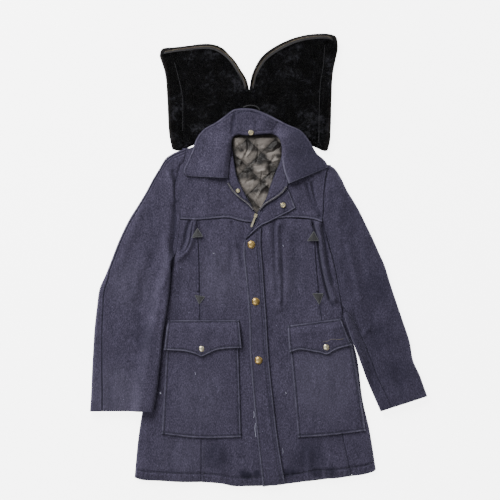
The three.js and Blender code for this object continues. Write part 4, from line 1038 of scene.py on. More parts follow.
def build_pockets():
    for name, edges in POCKETS.items():
        panel(name + "_wool", inside(*edges), laid(POCKET_WALL), on_front, [name], step=3.4,
              stitches=[(edge, POCKET_STITCH) for edge in ("left", "right", "bottom")],
              roll=3.5, round_off=2.8,
              toned=True, worn_and_lit=(("bottom", 0.45), ("left", 0.25), ("right", 0.35)),
              extra=lambda x, y, s, t: 1.1 * np.sin(math.pi * s) * np.sin(math.pi * t) ** 0.5,
              rests_on=["front_side_right", "front_side_left"])
    for name, edges in FLAPS.items():
        panel(name + "_wool", inside(*edges), lambda x, y: flap_low(x, y) + FLAP_WALL, flap_low, [name],
              stitches=(("left", FLAP_STITCH), ("right", FLAP_STITCH), ("bottom", FLAP_STITCH),
                        ("top", FLAP_TOP_STITCH)), roll=3.5, round_off=2.8,
              step=2.8, worn_and_lit=(("bottom", 0.5), ("left", 0.35), ("right", 0.4), ("top", 0.3)),
              extra=lambda x, y, s, t: ripple(x, y, 60, 21) * 0.8, rests_on=["pocket_right", "pocket_left"])
    for name, (left, right) in WELTS.items():
        panel(name + "_wool", ribbon(left, right), laid(2.0), on_front, [name], roll=3.4, round_off=1.9,
              step=2.0, rests_on=["front_side_right", "front_side_left"])


build_pockets()
print("pockets made")

# %% [markdown]
# A sleeve is a flat tube, open at the armhole and the cuff. Each section runs along the top
# from the inner fold to the outer one, round it and back underneath; the number p counts that
# way from 0 to 2. The tube is cut in two panels where the real seams are. Beside the body it
# climbs onto the coat's edge, as the real sleeve does.

# %% Sleeves
SLEEVE_HEIGHT = 16.0
SLEEVE_WALL = 6.5
SLEEVE_CLIMB = 17.6
CLIMB_REACH = 32.0
RIGHT_SLEEVE = np.array([
    [-183, 281, -187, 254, 0], [-202, 274, -193, 213, 0], [-221, 265, -203, 175, 0],
    [-234, 255, -199, 140, 0], [-248, 232, -197, 102, 0], [-265, 204, -201, 65, 0],
    [-282, 172, -208.5, 20, 0], [-302, 139, -218, -2, 0], [-325, 102, -219, -27, 0],
    [-349, 52, -221, -60, 0], [-367, 6, -225, -97, 0], [-384, -37, -230, -132, 0.06],
    [-398, -69, -236, -167, 0.08], [-405, -117, -241, -202, 0.1], [-411, -172, -244, -242, 0.12],
    [-414, -222, -248, -277, 0.14], [-417, -277, -252, -312, 0.16], [-419, -327, -257, -345, 0.18],
    [-422, -375, -263, -374, 0.2]])
LEFT_SLEEVE = np.array([
    [178, 238, 170, 213, 0], [189, 231, 166, 197, 0], [205, 207, 162, 165, 0], [220, 176, 161, 130, 0],
    [236, 150, 160, 95, 0], [252, 122, 172, 50, 0], [267, 91, 184, 6, 0], [284, 56, 193, -34, 0],
    [299, 22, 199, -72, 0], [313, -9, 206, -110, 0], [328, -57, 216, -150, 0.13],
    [344, -105, 228, -187, 0.17], [360, -152, 242, -225, 0.2], [376, -201, 255, -260, 0.21],
    [385, -249, 268, -295, 0.22], [401, -284, 281, -325, 0.23], [411, -312, 292, -350, 0.24],
    [420, -337, 303, -375, 0.25]])
RIGHT_OPEN_TO = 6
LEFT_OPEN_TO = 9
LEFT_UNDER_FROM = 9.55
LEAST_SEAM_INSET = 6.5
SEAM_GAP = 0.15
# Painted shade laid over the whole left sleeve.
LEFT_SHADE = 0.2
print("sections:", len(RIGHT_SLEEVE), "right,", len(LEFT_SLEEVE), "left")

# %% [markdown]
# A section is a flattened ring with an inner face one wall further in. Near the armhole it is
# open towards the body; further down it closes at the inner fold and climbs onto the edge.

# %% Sleeve sections


def sleeve_grid(table, open_to, q, p, inner_face):
    k = q / (len(table) - 1)
    outer, inner = curve_points(table[:, :2], k)[:, None], curve_points(table[:, 2:4], k)[:, None]
    width = np.linalg.norm(outer - inner, axis=-1)
    on_top = (p >= 0) & (p <= 1)
    share = np.where(on_top, p, np.abs(np.where(p < 0, p, 2 - p)))
    radius = SLEEVE_HEIGHT / 2
    opened = 1 - smooth(open_to, open_to + 1, q)[:, None]
    to_outer, to_inner = (1 - share) * width, share * width
    bend = lambda d: np.sqrt(1 - np.clip(1 - d / radius, 0, 1) ** 2)
    full = np.minimum(bend(to_outer), bend(to_inner) * (1 - opened) + opened)
    half = (radius - SLEEVE_WALL if inner_face else radius) * full
    pull = lambda d: np.where(d < radius, SLEEVE_WALL + (radius - SLEEVE_WALL) * d / radius - d, 0)
    shift = pull(to_inner) * (1 - opened) - pull(to_outer) if inner_face else 0
    at = inner + (outer - inner) * (share + shift / width)[..., None]
    x, y = at[..., 0], at[..., 1]
    right, left = side_distance(x, y)
    rest = SLEEVE_CLIMB * smooth(-CLIMB_REACH, -1, np.where(x < 0, right, left)) * (1 - opened)
    soft = smooth(0, 16, to_outer) * (opened + (1 - opened) * smooth(0, 16, to_inner))
    wave = ripple(x, y, 120, 31) * 1.8 + ripple(x, y, 46, 32) * 0.7
    crease = np.where(on_top, creased(x, y, SLEEVE_CREASES + CREASES[:3]) + wave, 0) * soft
    if not inner_face:
        crease = crease + np.where(on_top, shoulder_puff(q, share, width) * soft, 0)
    crease = np.maximum(crease, -1.2) if inner_face else crease
    z = rest + radius + np.maximum(half, 0.15) * np.where(on_top, 1, -1) + crease
    return np.dstack([x, y, np.maximum(z, 0.0)])


def shoulder_puff(q, share, width):
    near_seam = bell(share * width, 9) * smooth(-1, 1, q)[:, None] * (1 - smooth(5, 7, q))[:, None]
    return -2.0 * near_seam


print("sleeve height and wall:", SLEEVE_HEIGHT, SLEEVE_WALL, "mm")

# %% [markdown]
# Each seam follows a share of the width. The columns crowd beside the seams and the folds, so
# that a seam has its groove and a fold comes out round.

# %% Sleeve panels


def seam_share(table, q):
    return np.interp(q, np.arange(len(table)), table[:, 4])


def piecewise(anchors, counts):
    """Rows of p values that step evenly between the anchor columns."""
    parts = [anchors[0][:, None]]
    for a, b, count in zip(anchors[:-1], anchors[1:], counts):
        parts.append(a[:, None] + (b - a)[:, None] * np.linspace(0, 1, count + 1)[None, 1:])
    return np.hstack(parts)


def sleeve_piece(name, node, table, open_to, q, p, seam_ends, shade=0.0):
    outer = sleeve_grid(table, open_to, q, p, False)
    width = np.linalg.norm(np.diff(outer, axis=1), axis=-1)
    run = np.concatenate([np.zeros((len(q), 1)), np.cumsum(width, axis=1)], axis=1)
    raised = smooth(0.3, 1.5, outer[..., 2])
    groove = np.zeros_like(raised)
    for end in seam_ends:
        d = run if end == "first" else run[:, -1:] - run
        outer[..., 2] -= (2.2 * np.clip(1 - d / 3.6, 0, 1) ** 2 + 0.9 * bell(d - 7, 1.6)) * raised
        # Painted shade along each seam edge.
        groove = np.maximum(groove, 0.6 * bell(d, 1.3))
    spot = outer[..., 0], outer[..., 1]
    # Painted shade in the troughs, the shadow patches and the left sleeve; painted light in the pale patches.
    tone = np.maximum(crease_shade(*spot, SLEEVE_CREASES), patches(*spot, PAINTED_SHADOW_PATCHES) + shade)
    groove = np.maximum(groove, tone * raised)
    wear = patches(*spot, PAINTED_LIGHT_PATCHES) * raised
    outer[..., 2] = np.maximum(outer[..., 2], 0)
    inner = sleeve_grid(table, open_to, q, p, True)
    obj = ride(shell(name, outer, inner, wool, wear=wear, groove=groove), [node])
    declare_sheet(obj, outer, ["back"])


def build_right_sleeve():
    table = RIGHT_SLEEVE
    q = np.linspace(0, len(table) - 1, 170)
    k = q / (len(table) - 1)
    width = np.linalg.norm(curve_points(table[:, :2], k) - curve_points(table[:, 2:4], k), axis=1)
    bend, gap = SLEEVE_HEIGHT / 2 / width, SEAM_GAP / width
    seam = 1 - np.maximum(seam_share(table, q), LEAST_SEAM_INSET / width)
    top = piecewise([0 * q, 0.15 * bend, 0.5 * bend, bend, bend * 2, seam - bend * 0.6, seam - gap],
                    [2, 2, 2, 3, 34, 5])
    under = piecewise([seam + gap, 1 - 0.3 * bend, 1 + 0 * q, 1 + 0.3 * bend, 1 + bend, 2 - bend,
                       2 - 0.3 * bend, 2 - 0.05 * bend], [8, 3, 3, 3, 26, 3, 3])
    sleeve_piece("sleeve_right_top_wool", "sleeve_right_top", table, RIGHT_OPEN_TO, q, top, ["last"])
    sleeve_piece("sleeve_right_under_wool", "sleeve_right_under", table, RIGHT_OPEN_TO, q, under, ["first"])


def build_left_sleeve():
    table = LEFT_SLEEVE

    def common(q):
        k = q / (len(table) - 1)
        width = np.linalg.norm(curve_points(table[:, :2], k) - curve_points(table[:, 2:4], k), axis=1)
        return SLEEVE_HEIGHT / 2 / width, SEAM_GAP / width, seam_share(table, q)
    q = np.linspace(0, len(table) - 1, 165)
    bend, gap, seam = common(q)
    top = piecewise([seam + gap, seam + bend * 0.8, 1 - bend, 1 - 0.3 * bend, 1 + 0 * q, 1 + 0.3 * bend,
                     1 + bend, 2 - seam - gap], [5, 30, 3, 3, 3, 3, 22])
    sleeve_piece("sleeve_left_top_wool", "sleeve_left_top", table, LEFT_OPEN_TO, q, top, ["first"],
                 LEFT_SHADE)
    q = np.linspace(LEFT_UNDER_FROM, len(table) - 1, 80)
    bend, gap, seam = common(q)
    under = piecewise([-seam + gap, -bend, -0.3 * bend, 0 * q, 0.3 * bend, bend, seam - gap],
                      [6, 3, 3, 3, 3, 9])
    sleeve_piece("sleeve_left_under_wool", "sleeve_left_under", table, LEFT_OPEN_TO, q, under, ["last"],
                 LEFT_SHADE)


build_right_sleeve()
build_left_sleeve()
print("sleeves made:", [o.name for o in made[-4:]])

# %% [markdown]
# Under each armhole seam lies the seam allowance, a strip of the same wool that fills the step
# between the body and the sleeve.

# %% Armhole allowances


def build_allowances():
    """The turned seam allowance that lies under each armhole seam."""
    lines = {
        "right": [[-183, 282], [-190, 252], [-196, 213], [-205, 175], [-201, 140], [-200, 104], [-203, 65],
                  [-211, 20], [-219, -8], [-227, -42], [-234, -68]],
        "left": [[172, 240], [168, 214], [163, 173], [161, 125], [160, 96], [172, 48], [188, -17], [203, -90],
                 [213, -128], [222, -165], [230, -198]],
    }
    for side, line in lines.items():
        wider = lambda x, y: 12 * float(smooth(105, 120, -y) * (1 - smooth(140, 160, -y))) * (x > 0)
        edges = [[[x - 8, y] for x, y in line], [[x + 8 + wider(x, y), y] for x, y in line]]
        level = lambda x, y: 10.6 + 2.2 * smooth(110, 140, -y) * (x > 0) + 2.4 * smooth(96, 130, y)
        panel(f"armhole_allowance_{side}", ribbon(*edges), level, 1.6, [], step=4.0, roll=1.0, round_off=0.5,
              rests_on=["back_lining"])


build_allowances()
print("seam allowances made")

# %% [markdown]
# The collar rolls over and falls outwards onto the yokes. Its table gives the neck edge and
# the free edge of each section. Behind the neck the inner stand covers it.

# %% Collar
COLLAR = np.array([
    [-77, 205, -181, 211], [-75, 222, -189, 222], [-74, 240, -177, 252], [-71, 262, -165, 280],
    [-69, 285, -157, 303], [-68, 298, -139, 327], [-65, 307, -109, 345], [-58, 313, -85, 362],
    [-46, 315, -64, 377], [-28, 316, -40, 381], [-8, 317, -10, 378], [12, 318, 19, 367],
    [30, 317, 45, 354], [44, 311, 72, 340], [52, 300, 104, 325], [56, 284, 124, 302],
    [56, 262, 144, 268], [57, 244, 158, 256], [61, 224, 164, 250], [67, 207, 170, 241], [73, 191, 172, 233]])
COLLAR_BACK_LOW = 14.4
COLLAR_WALL = 4.0
# Painted shade over the collar's left end.
LEFT_COLLAR_SHADE = 0.42
COLLAR_LENGTH = 760
COLLAR_STITCH = 6.5
STAND_WALL = 3.0
STAND_TOP = [[-56, 371], [-42, 376], [-26, 377], [-10, 374], [8, 367], [26, 359], [38, 353], [46, 349]]
STAND_LOW = [[-53, 317], [-42, 313], [-28, 312], [-12, 313], [4, 315], [18, 316], [27, 316.5], [34, 317]]


def collar_low(s, t):
    row = t * (len(COLLAR) - 1)
    behind = smooth(4.1, 6.6, row) * (1 - smooth(12.4, 14.0, row))
    roll = 21.8 + 5 * smooth(0, 0.12, s) - 9.8 * smooth(0.16, 0.9, s)
    return roll * (1 - behind) + COLLAR_BACK_LOW * behind


def build_collar():
    s, t = steps_for(110, 3.2), np.linspace(0, 1, 190)
    surface = ribbon(COLLAR[:, :2], COLLAR[:, 2:], by_length=False)
    flat = surface(0.001 + 0.998 * s, t)
    x, y = flat[..., 0], flat[..., 1]
    ss, tt = np.meshgrid(s, t)
    width = np.linalg.norm(flat[:, -1] - flat[:, 0], axis=-1)[:, None]
    low = collar_low(ss, tt)
    free, neck = (1 - ss) * width, ss * width
    ends = np.minimum(tt, 1 - tt) * COLLAR_LENGTH
    near = np.minimum(np.minimum(free, neck), ends)
    z = low + COLLAR_WALL + ripple(x, y, 62, 41) * 1.0 - 2.4 * np.clip(1 - near / 4, 0, 1) ** 2
    pull = 0.8 + 0.3 * np.sin(y * TURN / 11)
    z -= 1.1 * pull * (bell(free - COLLAR_STITCH, 1.7) + bell(ends - COLLAR_STITCH, 1.7))
    # A crease behind the neck, on the right, pressed in and given painted shade.
    valley = bell(from_line(x, y, [[-60, 368], [-66, 342], [-68, 318]]), 4.5)
    z -= 2.4 * valley
    upper, lower = np.dstack([x, y, z]), np.dstack([x, y, np.minimum(low, z - 1)])
    line = np.maximum(bell(free - COLLAR_STITCH, 1.6), bell(ends - COLLAR_STITCH, 1.6))
    outline = {"free": np.broadcast_to(free, x.shape), "ends": ends}
    # Pale edges of wear and painted highlight; painted shade in the crease, along the stitched edges, over
    # the left end and along the front ends' neck edge.
    wear, groove = edge_tone(np.minimum(free, ends), np.maximum(0.5 * line, 0.9 * valley),
                             x, y, (("free", 0.25), ("ends", 0.6)), outline)
    groove = np.maximum(groove, LEFT_COLLAR_SHADE * smooth(50, 110, x))
    front_end = smooth(0.78, 0.88, tt)
    wear = np.maximum(wear, 0.5 * front_end * bell(neck - 2.6, 1.7))
    groove = np.maximum(groove * (1 - 0.6 * wear * front_end), 0.9 * front_end * bell(neck, 1.2))
    obj = ride(shell("collar_wool", upper, lower, wool, wear=wear, groove=groove), ["collar"])
    declare_sheet(obj, upper, ["yoke_right", "yoke_left"])


build_collar()
print("collar made")

# %% [markdown]
# The stand covers the collar's fold behind the neck. Three short creases run across it.

# %% Stand


def stand_height(x, y):
    run = np.interp(x, [p[0] for p in STAND_LOW], [p[1] for p in STAND_LOW])
    high = np.interp(x, [p[0] for p in STAND_TOP], [p[1] for p in STAND_TOP])
    t = np.clip((y - run) / (high - run), 0, 1)
    crease = from_line(x, y, [[2, 352], [13, 342], [25, 331]])
    flush_end = 7.0 * smooth(22, 44, x)
    folds = 1.2 * ripple(x, 0.4 * y, 22, 44) - 1.8 * bell(crease, 3.5)
    wrinkles = 1.4 * bell(from_line(x, y, [[-40, 366], [-34, 350], [-36, 338]]), 4)
    wrinkles -= 1.5 * bell(from_line(x, y, [[-14, 368], [-6, 352], [-8, 340]]), 3.5)
    fold = COLLAR_BACK_LOW + COLLAR_WALL + 1.4 + 5 * smooth(0.1, 0.9, t) + STAND_WALL
    return fold + folds + wrinkles - flush_end


def build_stand():
    rise = ribbon(STAND_LOW, STAND_TOP)
    surface = lambda s, t: np.swapaxes(rise(t, s), 0, 1)
    stand = panel("collar_stand_wool", surface, stand_height, STAND_WALL, ["collar_stand"], step=2.6, roll=4,
                  round_off=2.4, stitches=(("bottom", 9), ("top", 5)), rests_on=["collar"])
    # The painted shade fades out towards the stand's right end.
    tone = stand.data.attributes["groove"].data
    for vertex, spot in zip(stand.data.vertices, tone):
        spot.value *= 1 - float(smooth(8 * MM, 26 * MM, vertex.co.x))


build_stand()
print("stand made")

# %% [markdown]
# The hood is split down its crown and lies open as two lobes, pile side up. Each lobe is a wool
# shell below with a plush lining on it, and a stitched casing runs beside its face edge.

# %% Hood shells and plush
HOOD_RIGHT = dict(
    left=[[-217, 279], [-222, 299], [-226, 327], [-230, 411], [-235, 468], [-249, 512]],
    right=[[-24.65, 317.9], [-24.65, 430]],
    bottom=[[-217, 279], [-203, 275], [-187, 279], [-162, 290], [-122, 306], [-77, 320], [-24.65, 317.9]],
    top=[[-249, 512], [-243, 530], [-208, 535], [-174, 539], [-144, 543], [-114, 542], [-90, 532],
         [-76, 518], [-61, 502], [-45, 477], [-31, 454], [-24.65, 430]])
HOOD_LEFT = dict(
    left=[[-24.35, 317.9], [-24.35, 430]],
    right=[[172, 276], [178, 300], [180, 335], [182, 411], [185, 468], [197, 526]],
    bottom=[[-24.35, 317.9], [60, 321], [102, 302], [146, 281], [164, 274], [172, 276]],
    top=[[-24.35, 430], [-21, 452], [-17, 468], [5, 509], [39, 536], [90, 559], [137, 568], [176, 568],
         [192, 562], [197, 544], [197, 526]])
HOOD_PILE_TOP = 12.4
ROLL_WIDTH = 31.0
LOBE_WIDTH = 190
LOBE_HEIGHT = 200
hood_linings = {}


def pile_relief(face_at_start):
    def extra(x, y, s, t):
        from_face = (s if face_at_start else 1 - s) * LOBE_WIDTH
        to_crown = (1 - t) * LOBE_HEIGHT
        edge = fall(from_face, 9) * 3.5 + fall(to_crown, 11) * 3.0
        casing = 2.6 * bell(from_face - ROLL_WIDTH, 2.6)
        tuft = ripple(x, y, 9, 51) * 0.9 + ripple(x, y, 24, 52) * 1.6 + ripple(x, y, 70, 53) * 1.6
        crown_roll = 2.2 * bell(to_crown - 17, 3.0) * (s > 0.04) * (s < 0.96)
        return -edge - casing - crown_roll + tuft - 1.0
    return extra


def build_hood():
    for side, outline, face_at_start in (("right", HOOD_RIGHT, True), ("left", HOOD_LEFT, False)):
        surface = inside(**outline)
        panel(f"hood_shell_{side}_wool", surface, level_at(BACK_WALL), level_at(0.0),
              [f"hood_shell_{side}"], step=8.0, round_off=1.0, inset=0.3, rests_on=[])
        # The pile is painted paler along its top and face edges.
        lining = panel(f"hood_lining_{side}_pile", surface, level_at(HOOD_PILE_TOP),
                       level_at(LINING_LOW), [f"hood_lining_{side}"], material=plush,
                       step=2.6, round_off=4.0, roll=7.0, inset=1.0, extra=pile_relief(face_at_start),
                       rests_on=[f"hood_shell_{side}"],
                       worn_and_lit=(("top", 0.75), ("left" if face_at_start else "right", 0.5)), pale_edge_width=9.0)
        hood_linings[side] = lining


def build_crown_tape():
    """A narrow tape inside the crown seam, between the shells and the pile."""
    edges = [[[-31, 318], [-31, 428]], [[-18, 318], [-18, 428]]]
    panel("crown_seam_tape", ribbon(*edges), level_at(BACK_WALL + 2.4), 2.0, [], step=6.0,
          roll=1.0, round_off=0.4, material=plush, rests_on=["hood_shell_right", "hood_shell_left"])


build_hood()
build_crown_tape()
print("hood made")

# %% [markdown]
# Plush is thousands of short fibres. Geometry Nodes scatter a thin three-sided blade over the
# upper face of each lining: points are distributed on the surface, each gets a blade with a
# random lean and size, and the instances are realized so that the export keeps them.

# %% Plush fibres
PILE_LENGTH = 3.6 * MM
PILE_WIDTH = 1.5 * MM
PILE_DENSITY = 420000.0


def pile_blade():
    mesh = bpy.data.meshes.new("pile_blade")
    ring = [(math.cos(a) * PILE_WIDTH / 2, math.sin(a) * PILE_WIDTH / 2, 0) for a in (0, 2.094, 4.189)]
    mesh.from_pydata(ring + [(PILE_WIDTH * 0.4, 0, PILE_LENGTH)], [],
                     [(0, 1, 3), (1, 2, 3), (2, 0, 3), (2, 1, 0)])
    return linked("pile_blade", mesh)


def node_group(name, inputs):
    tree = bpy.data.node_groups.new(name, "GeometryNodeTree")
    tree.interface.new_socket("Geometry", in_out="INPUT", socket_type="NodeSocketGeometry")
    for label, kind in inputs:
        tree.interface.new_socket(label, in_out="INPUT", socket_type=kind)
    tree.interface.new_socket("Geometry", in_out="OUTPUT", socket_type="NodeSocketGeometry")
    return tree, tree.nodes.new("NodeGroupInput"), tree.nodes.new("NodeGroupOutput")


def pile_tree():
    tree, start, end = node_group("pile_scatter", [
        ("Blade", "NodeSocketObject"), ("Density", "NodeSocketFloat"), ("Seed", "NodeSocketInt"),
        ("Material", "NodeSocketMaterial")])
    normal = add(tree, "GeometryNodeInputNormal")
    parts = add(tree, "ShaderNodeSeparateXYZ", i0=normal.outputs[0])
    upward = add(tree, "FunctionNodeCompare", {"operation": "GREATER_THAN", 1: 0.35}, i0=parts.outputs[2])
    points = add(tree, "GeometryNodeDistributePointsOnFaces", Mesh=start.outputs[0],
                 Selection=upward.outputs[0], Density=start.outputs[2], Seed=start.outputs[3])
    lean = add(tree, "FunctionNodeRandomValue", {"data_type": "FLOAT_VECTOR", 0: (-0.55, -0.55, -3.1),
                                                 1: (0.55, 0.55, 3.1)}, Seed=start.outputs[3])
    size = add(tree, "FunctionNodeRandomValue", {"data_type": "FLOAT", 2: 0.55, 3: 1.15},
               Seed=start.outputs[3])
    blade = add(tree, "GeometryNodeObjectInfo", i0=start.outputs[1])
    put = add(tree, "GeometryNodeInstanceOnPoints", Points=points.outputs[0],
              Instance=blade.outputs["Geometry"], Rotation=lean.outputs[0], Scale=size.outputs[1])
    real = add(tree, "GeometryNodeRealizeInstances", Geometry=put.outputs[0])
    paint = add(tree, "GeometryNodeSetMaterial", Geometry=real.outputs[0], Material=start.outputs[4])
    tree.links.new(paint.outputs[0], end.inputs[0])
    return tree


print("blades for each square metre:", PILE_DENSITY)

# %% [markdown]
# The tree runs as a modifier on a copy of each lining, and its result is kept as a plain mesh.

# %% Fibres on both lobes


def apply_tree(name, host, tree, values):
    """Runs the tree on a copy of the host and returns its result as a plain mesh object."""
    carrier = host.copy()
    carrier.data = host.data.copy()
    bpy.context.scene.collection.objects.link(carrier)
    modifier = carrier.modifiers.new(name, "NODES")
    modifier.node_group = tree
    for item in tree.interface.items_tree:
        if item.item_type == "SOCKET" and item.in_out == "INPUT" and item.name in values:
            modifier[item.identifier] = values[item.name]
    carrier.update_tag()
    bpy.context.view_layer.update()
    ready = carrier.evaluated_get(bpy.context.evaluated_depsgraph_get())
    mesh = bpy.data.meshes.new_from_object(ready)
    result = linked(name, mesh)
    bpy.data.objects.remove(carrier)
    return result


blade = pile_blade()
scatter = pile_tree()
for seed, (side, lining) in enumerate(hood_linings.items()):
    fibres = apply_tree(f"hood_fibres_{side}", lining, scatter,
                        {"Blade": blade, "Density": PILE_DENSITY, "Seed": seed + 5, "Material": plush})
    ride(fibres)
    print("fibres", side, len(fibres.data.polygons))
bpy.data.objects.remove(blade)

# %% [markdown]
# Zip teeth are small metal blocks clamped on the rim of a tape. The tape is a narrow strip;
# Geometry Nodes resample a line through its middle and put one tooth at each step, turned
# along the line.

# %% Teeth and tables of the zips
ZIP_PITCH = 3.2
HOOD_ZIP_PITCH = 2.8
CROWNS = {
    "right": [[-236, 520], [-208, 525], [-174, 529], [-144, 532.5], [-116, 531.5], [-95, 522.5],
              [-81, 512], [-67, 496.5], [-52, 473], [-39, 451], [-33, 432]],
    "left": [[-16, 432], [-12, 450], [-8.5, 464], [14, 502], [45, 526], [92, 548.5], [137, 557.5],
             [172, 557.5], [183, 553]],
}


def tooth_mesh(name, length, width, height):
    mesh = bpy.data.meshes.new(name)
    x, y, z = length * MM / 2, width * MM / 2, height * MM
    ring = [(-x, -y, 0), (x, -y, 0), (x, y, 0), (-x, y, 0)]
    roof = [(-x * 0.7, -y * 0.6, z), (x * 0.7, -y * 0.6, z), (x * 0.7, y * 0.6, z), (-x * 0.7, y * 0.6, z)]
    faces = [(3, 2, 1, 0), (4, 5, 6, 7), (0, 1, 5, 4), (1, 2, 6, 5), (2, 3, 7, 6), (3, 0, 4, 7)]
    mesh.from_pydata(ring + roof, [], faces)
    return linked(name, mesh)


print("points along the hood's crowns:", sum(len(crown) for crown in CROWNS.values()))

# %% [markdown]
# The tree takes a line, resamples it in equal steps and puts one piece at each point, turned
# along the line. Stitches use it too.

# %% Pieces along a line


def along_tree():
    tree, start, end = node_group("pieces_along", [
        ("Piece", "NodeSocketObject"), ("Pitch", "NodeSocketFloat"), ("Material", "NodeSocketMaterial")])
    line = add(tree, "GeometryNodeMeshToCurve", Mesh=start.outputs[0])
    even = add(tree, "GeometryNodeResampleCurve", {"mode": "LENGTH"}, Curve=line.outputs[0],
               Length=start.outputs[2])
    tangent = add(tree, "GeometryNodeInputTangent")
    turn = add(tree, "FunctionNodeAlignRotationToVector", {"axis": "X"}, Vector=tangent.outputs[0])
    piece = add(tree, "GeometryNodeObjectInfo", i0=start.outputs[1])
    put = add(tree, "GeometryNodeInstanceOnPoints", Points=even.outputs[0],
              Instance=piece.outputs["Geometry"], Rotation=turn.outputs[0])
    real = add(tree, "GeometryNodeRealizeInstances", Geometry=put.outputs[0])
    paint = add(tree, "GeometryNodeSetMaterial", Geometry=real.outputs[0], Material=start.outputs[3])
    tree.links.new(paint.outputs[0], end.inputs[0])
    return tree


def lines_object(name, lines):
    points, edges = [], []
    for line in lines:
        first = len(points)
        points += [tuple(p) for p in (np.asarray(line) + ORIGIN_SHIFT) * MM]
        edges += [(first + i, first + i + 1) for i in range(len(line) - 1)]
    mesh = bpy.data.meshes.new(name)
    mesh.from_pydata(points, edges, [])
    return linked(name, mesh)


along = along_tree()


def pieces_on_lines(name, lines, piece, pitch, material):
    host = lines_object(name + "_lines", lines)
    result = apply_tree(name, host, along, {"Piece": piece, "Pitch": pitch * MM, "Material": material})
    bpy.data.objects.remove(host)
    return ride(result)


def lifted(points, height, extra=0.0):
    points = np.asarray(points, float)
    return np.column_stack([points, height(points[:, 0], points[:, 1]) + extra])


print("inputs and output of the tree:", [item.name for item in along.interface.items_tree])

# %% [markdown]
# The front zip shows its upper ends on the rims of the facings. The hood's zip runs along both
# crowns, where the lobes can be joined.

# %% Front and hood zips


def build_front_zips():
    tooth = tooth_mesh("front_tooth", 2.0, 4.6, 1.6)
    for side, edge, flip in (("right", RIGHT_FACING_ZIP, 1), ("left", LEFT_FACING_ZIP, -1)):
        outer = [[x + flip * 0.4, y + 0.4] for x, y in edge[:5]]
        inner = [[x + flip * (1.6 + 0.45 * i), y + 2 + 0.5 * i] for i, (x, y) in enumerate(outer)]
        pair = (outer, inner) if flip > 0 else (inner, outer)
        base = lambda x, y: on_front(x, y) + FACING_WALL + 0.1
        panel(f"zip_tape_{side}", ribbon(*pair), lambda x, y: base(x, y) + 1.2, base, [f"zip_{side}"],
              step=2.0, round_off=0.4, roll=1.0, material=tape_cloth,
              rests_on=[f"facing_{side}"])
        middle = even_curve((np.array(outer) + np.array(inner)) / 2, np.linspace(0.02, 0.98, 40))
        pieces_on_lines(f"zip_teeth_{side}", [lifted(middle, base, 1.1)], tooth, ZIP_PITCH, aluminium)
    bpy.data.objects.remove(tooth)


def build_hood_zips():
    tooth = tooth_mesh("hood_tooth", 1.5, 2.2, 1.2)
    for side, crown in CROWNS.items():
        away = -3.5 if side == "right" else 3.5
        crown = [[x - 0.4 * away, y + 2.4] for x, y in crown]
        lower = [[x + away, y - 6.5] for x, y in crown]
        top = level_at(HOOD_PILE_TOP + 1.6)
        panel(f"hood_zip_tape_{side}", ribbon(lower, crown), top, 1.4, [f"hood_zip_{side}"], step=2.4,
              round_off=0.4, roll=1.0, material=hood_tape, rests_on=[f"hood_lining_{side}"])
        middle = even_curve((np.array(lower) + 12 * np.array(crown)) / 13, np.linspace(0.01, 0.99, 90))
        pieces_on_lines(f"hood_teeth_{side}", [lifted(middle, top)], tooth, HOOD_ZIP_PITCH, bronze)
    bpy.data.objects.remove(tooth)


build_front_zips()
build_hood_zips()
print("zips made")

# %% [markdown]
# The rows of topstitching are real thread here: short slim stitches laid in the grooves that
# the panels already have. Each line is worked out from the edge that it follows.

# %% Topstitching
STITCH_PITCH = 3.6


def offset_line(points, distance, count=160, low=0.0, high=1.0):
    line = even_curve(points, np.linspace(low, high, count))
    step = np.gradient(line, axis=0)
    normal = np.column_stack([-step[:, 1], step[:, 0]]) / np.linalg.norm(step, axis=1)[:, None]
    return line + normal * distance


def stitch_lines():
    lines = []
    for left, right, bottom, _ in POCKETS.values():
        for edge, side in ((left, -POCKET_STITCH), (right, POCKET_STITCH), (bottom, POCKET_STITCH)):
            lines.append(lifted(offset_line(edge, side, low=0.02, high=0.98), laid(POCKET_WALL), 0.25))
    for left, right, bottom, top in FLAPS.values():
        sewn = (left, -FLAP_STITCH), (right, FLAP_STITCH), (bottom, FLAP_STITCH), (top, -FLAP_TOP_STITCH)
        for edge, side in sewn:
            height = lambda x, y: flap_low(x, y) + FLAP_WALL
            lines.append(lifted(offset_line(edge, side, low=0.04, high=0.96), height, 0.1))
    lines.append(lifted(offset_line(PLACKET_RIGHT_EDGE, -5), laid(PLACKET_WALL), -0.1))
    lines.append(lifted(offset_line(PLACKET_LEFT_EDGE, 6), laid(PLACKET_WALL), -0.1))
    lines.append(lifted(offset_line(PLACKET_LEFT_EDGE, 12), laid(PLACKET_WALL), -0.1))
    for seam in (YOKE_SEAM_RIGHT_SIDE + YOKE_SEAM_RIGHT_CENTRE[1:],
                 YOKE_SEAM_LEFT_CENTRE + YOKE_SEAM_LEFT_SIDE[1:]):
        lines.append(lifted(offset_line(seam, 7, low=0.02, high=0.9), front_height, 1.2))
    for hem in (HEM_RIGHT_SIDE, HEM_RIGHT_CENTRE, HEM_LEFT_CENTRE, HEM_LEFT_SIDE):
        lines.append(lifted(offset_line(hem, 22, count=60), front_height, -1.0))
    lines.append(lifted(offset_line(RIGHT_PANEL_SEAM, -5.5), front_height, -0.2))
    lines.append(lifted(offset_line(LEFT_PANEL_SEAM, 5.5), front_height, -0.2))
    return lines


def casing_lines():
    lines = [[[-210, 493], [-197, 441], [-191, 411], [-190, 326]],
             [[164, 536], [160, 488], [153, 443], [150, 379], [149, 296]]]
    return [lifted(even_curve(line, np.linspace(0, 1, 60)), level_at(HOOD_PILE_TOP + 1.4))
            for line in lines]


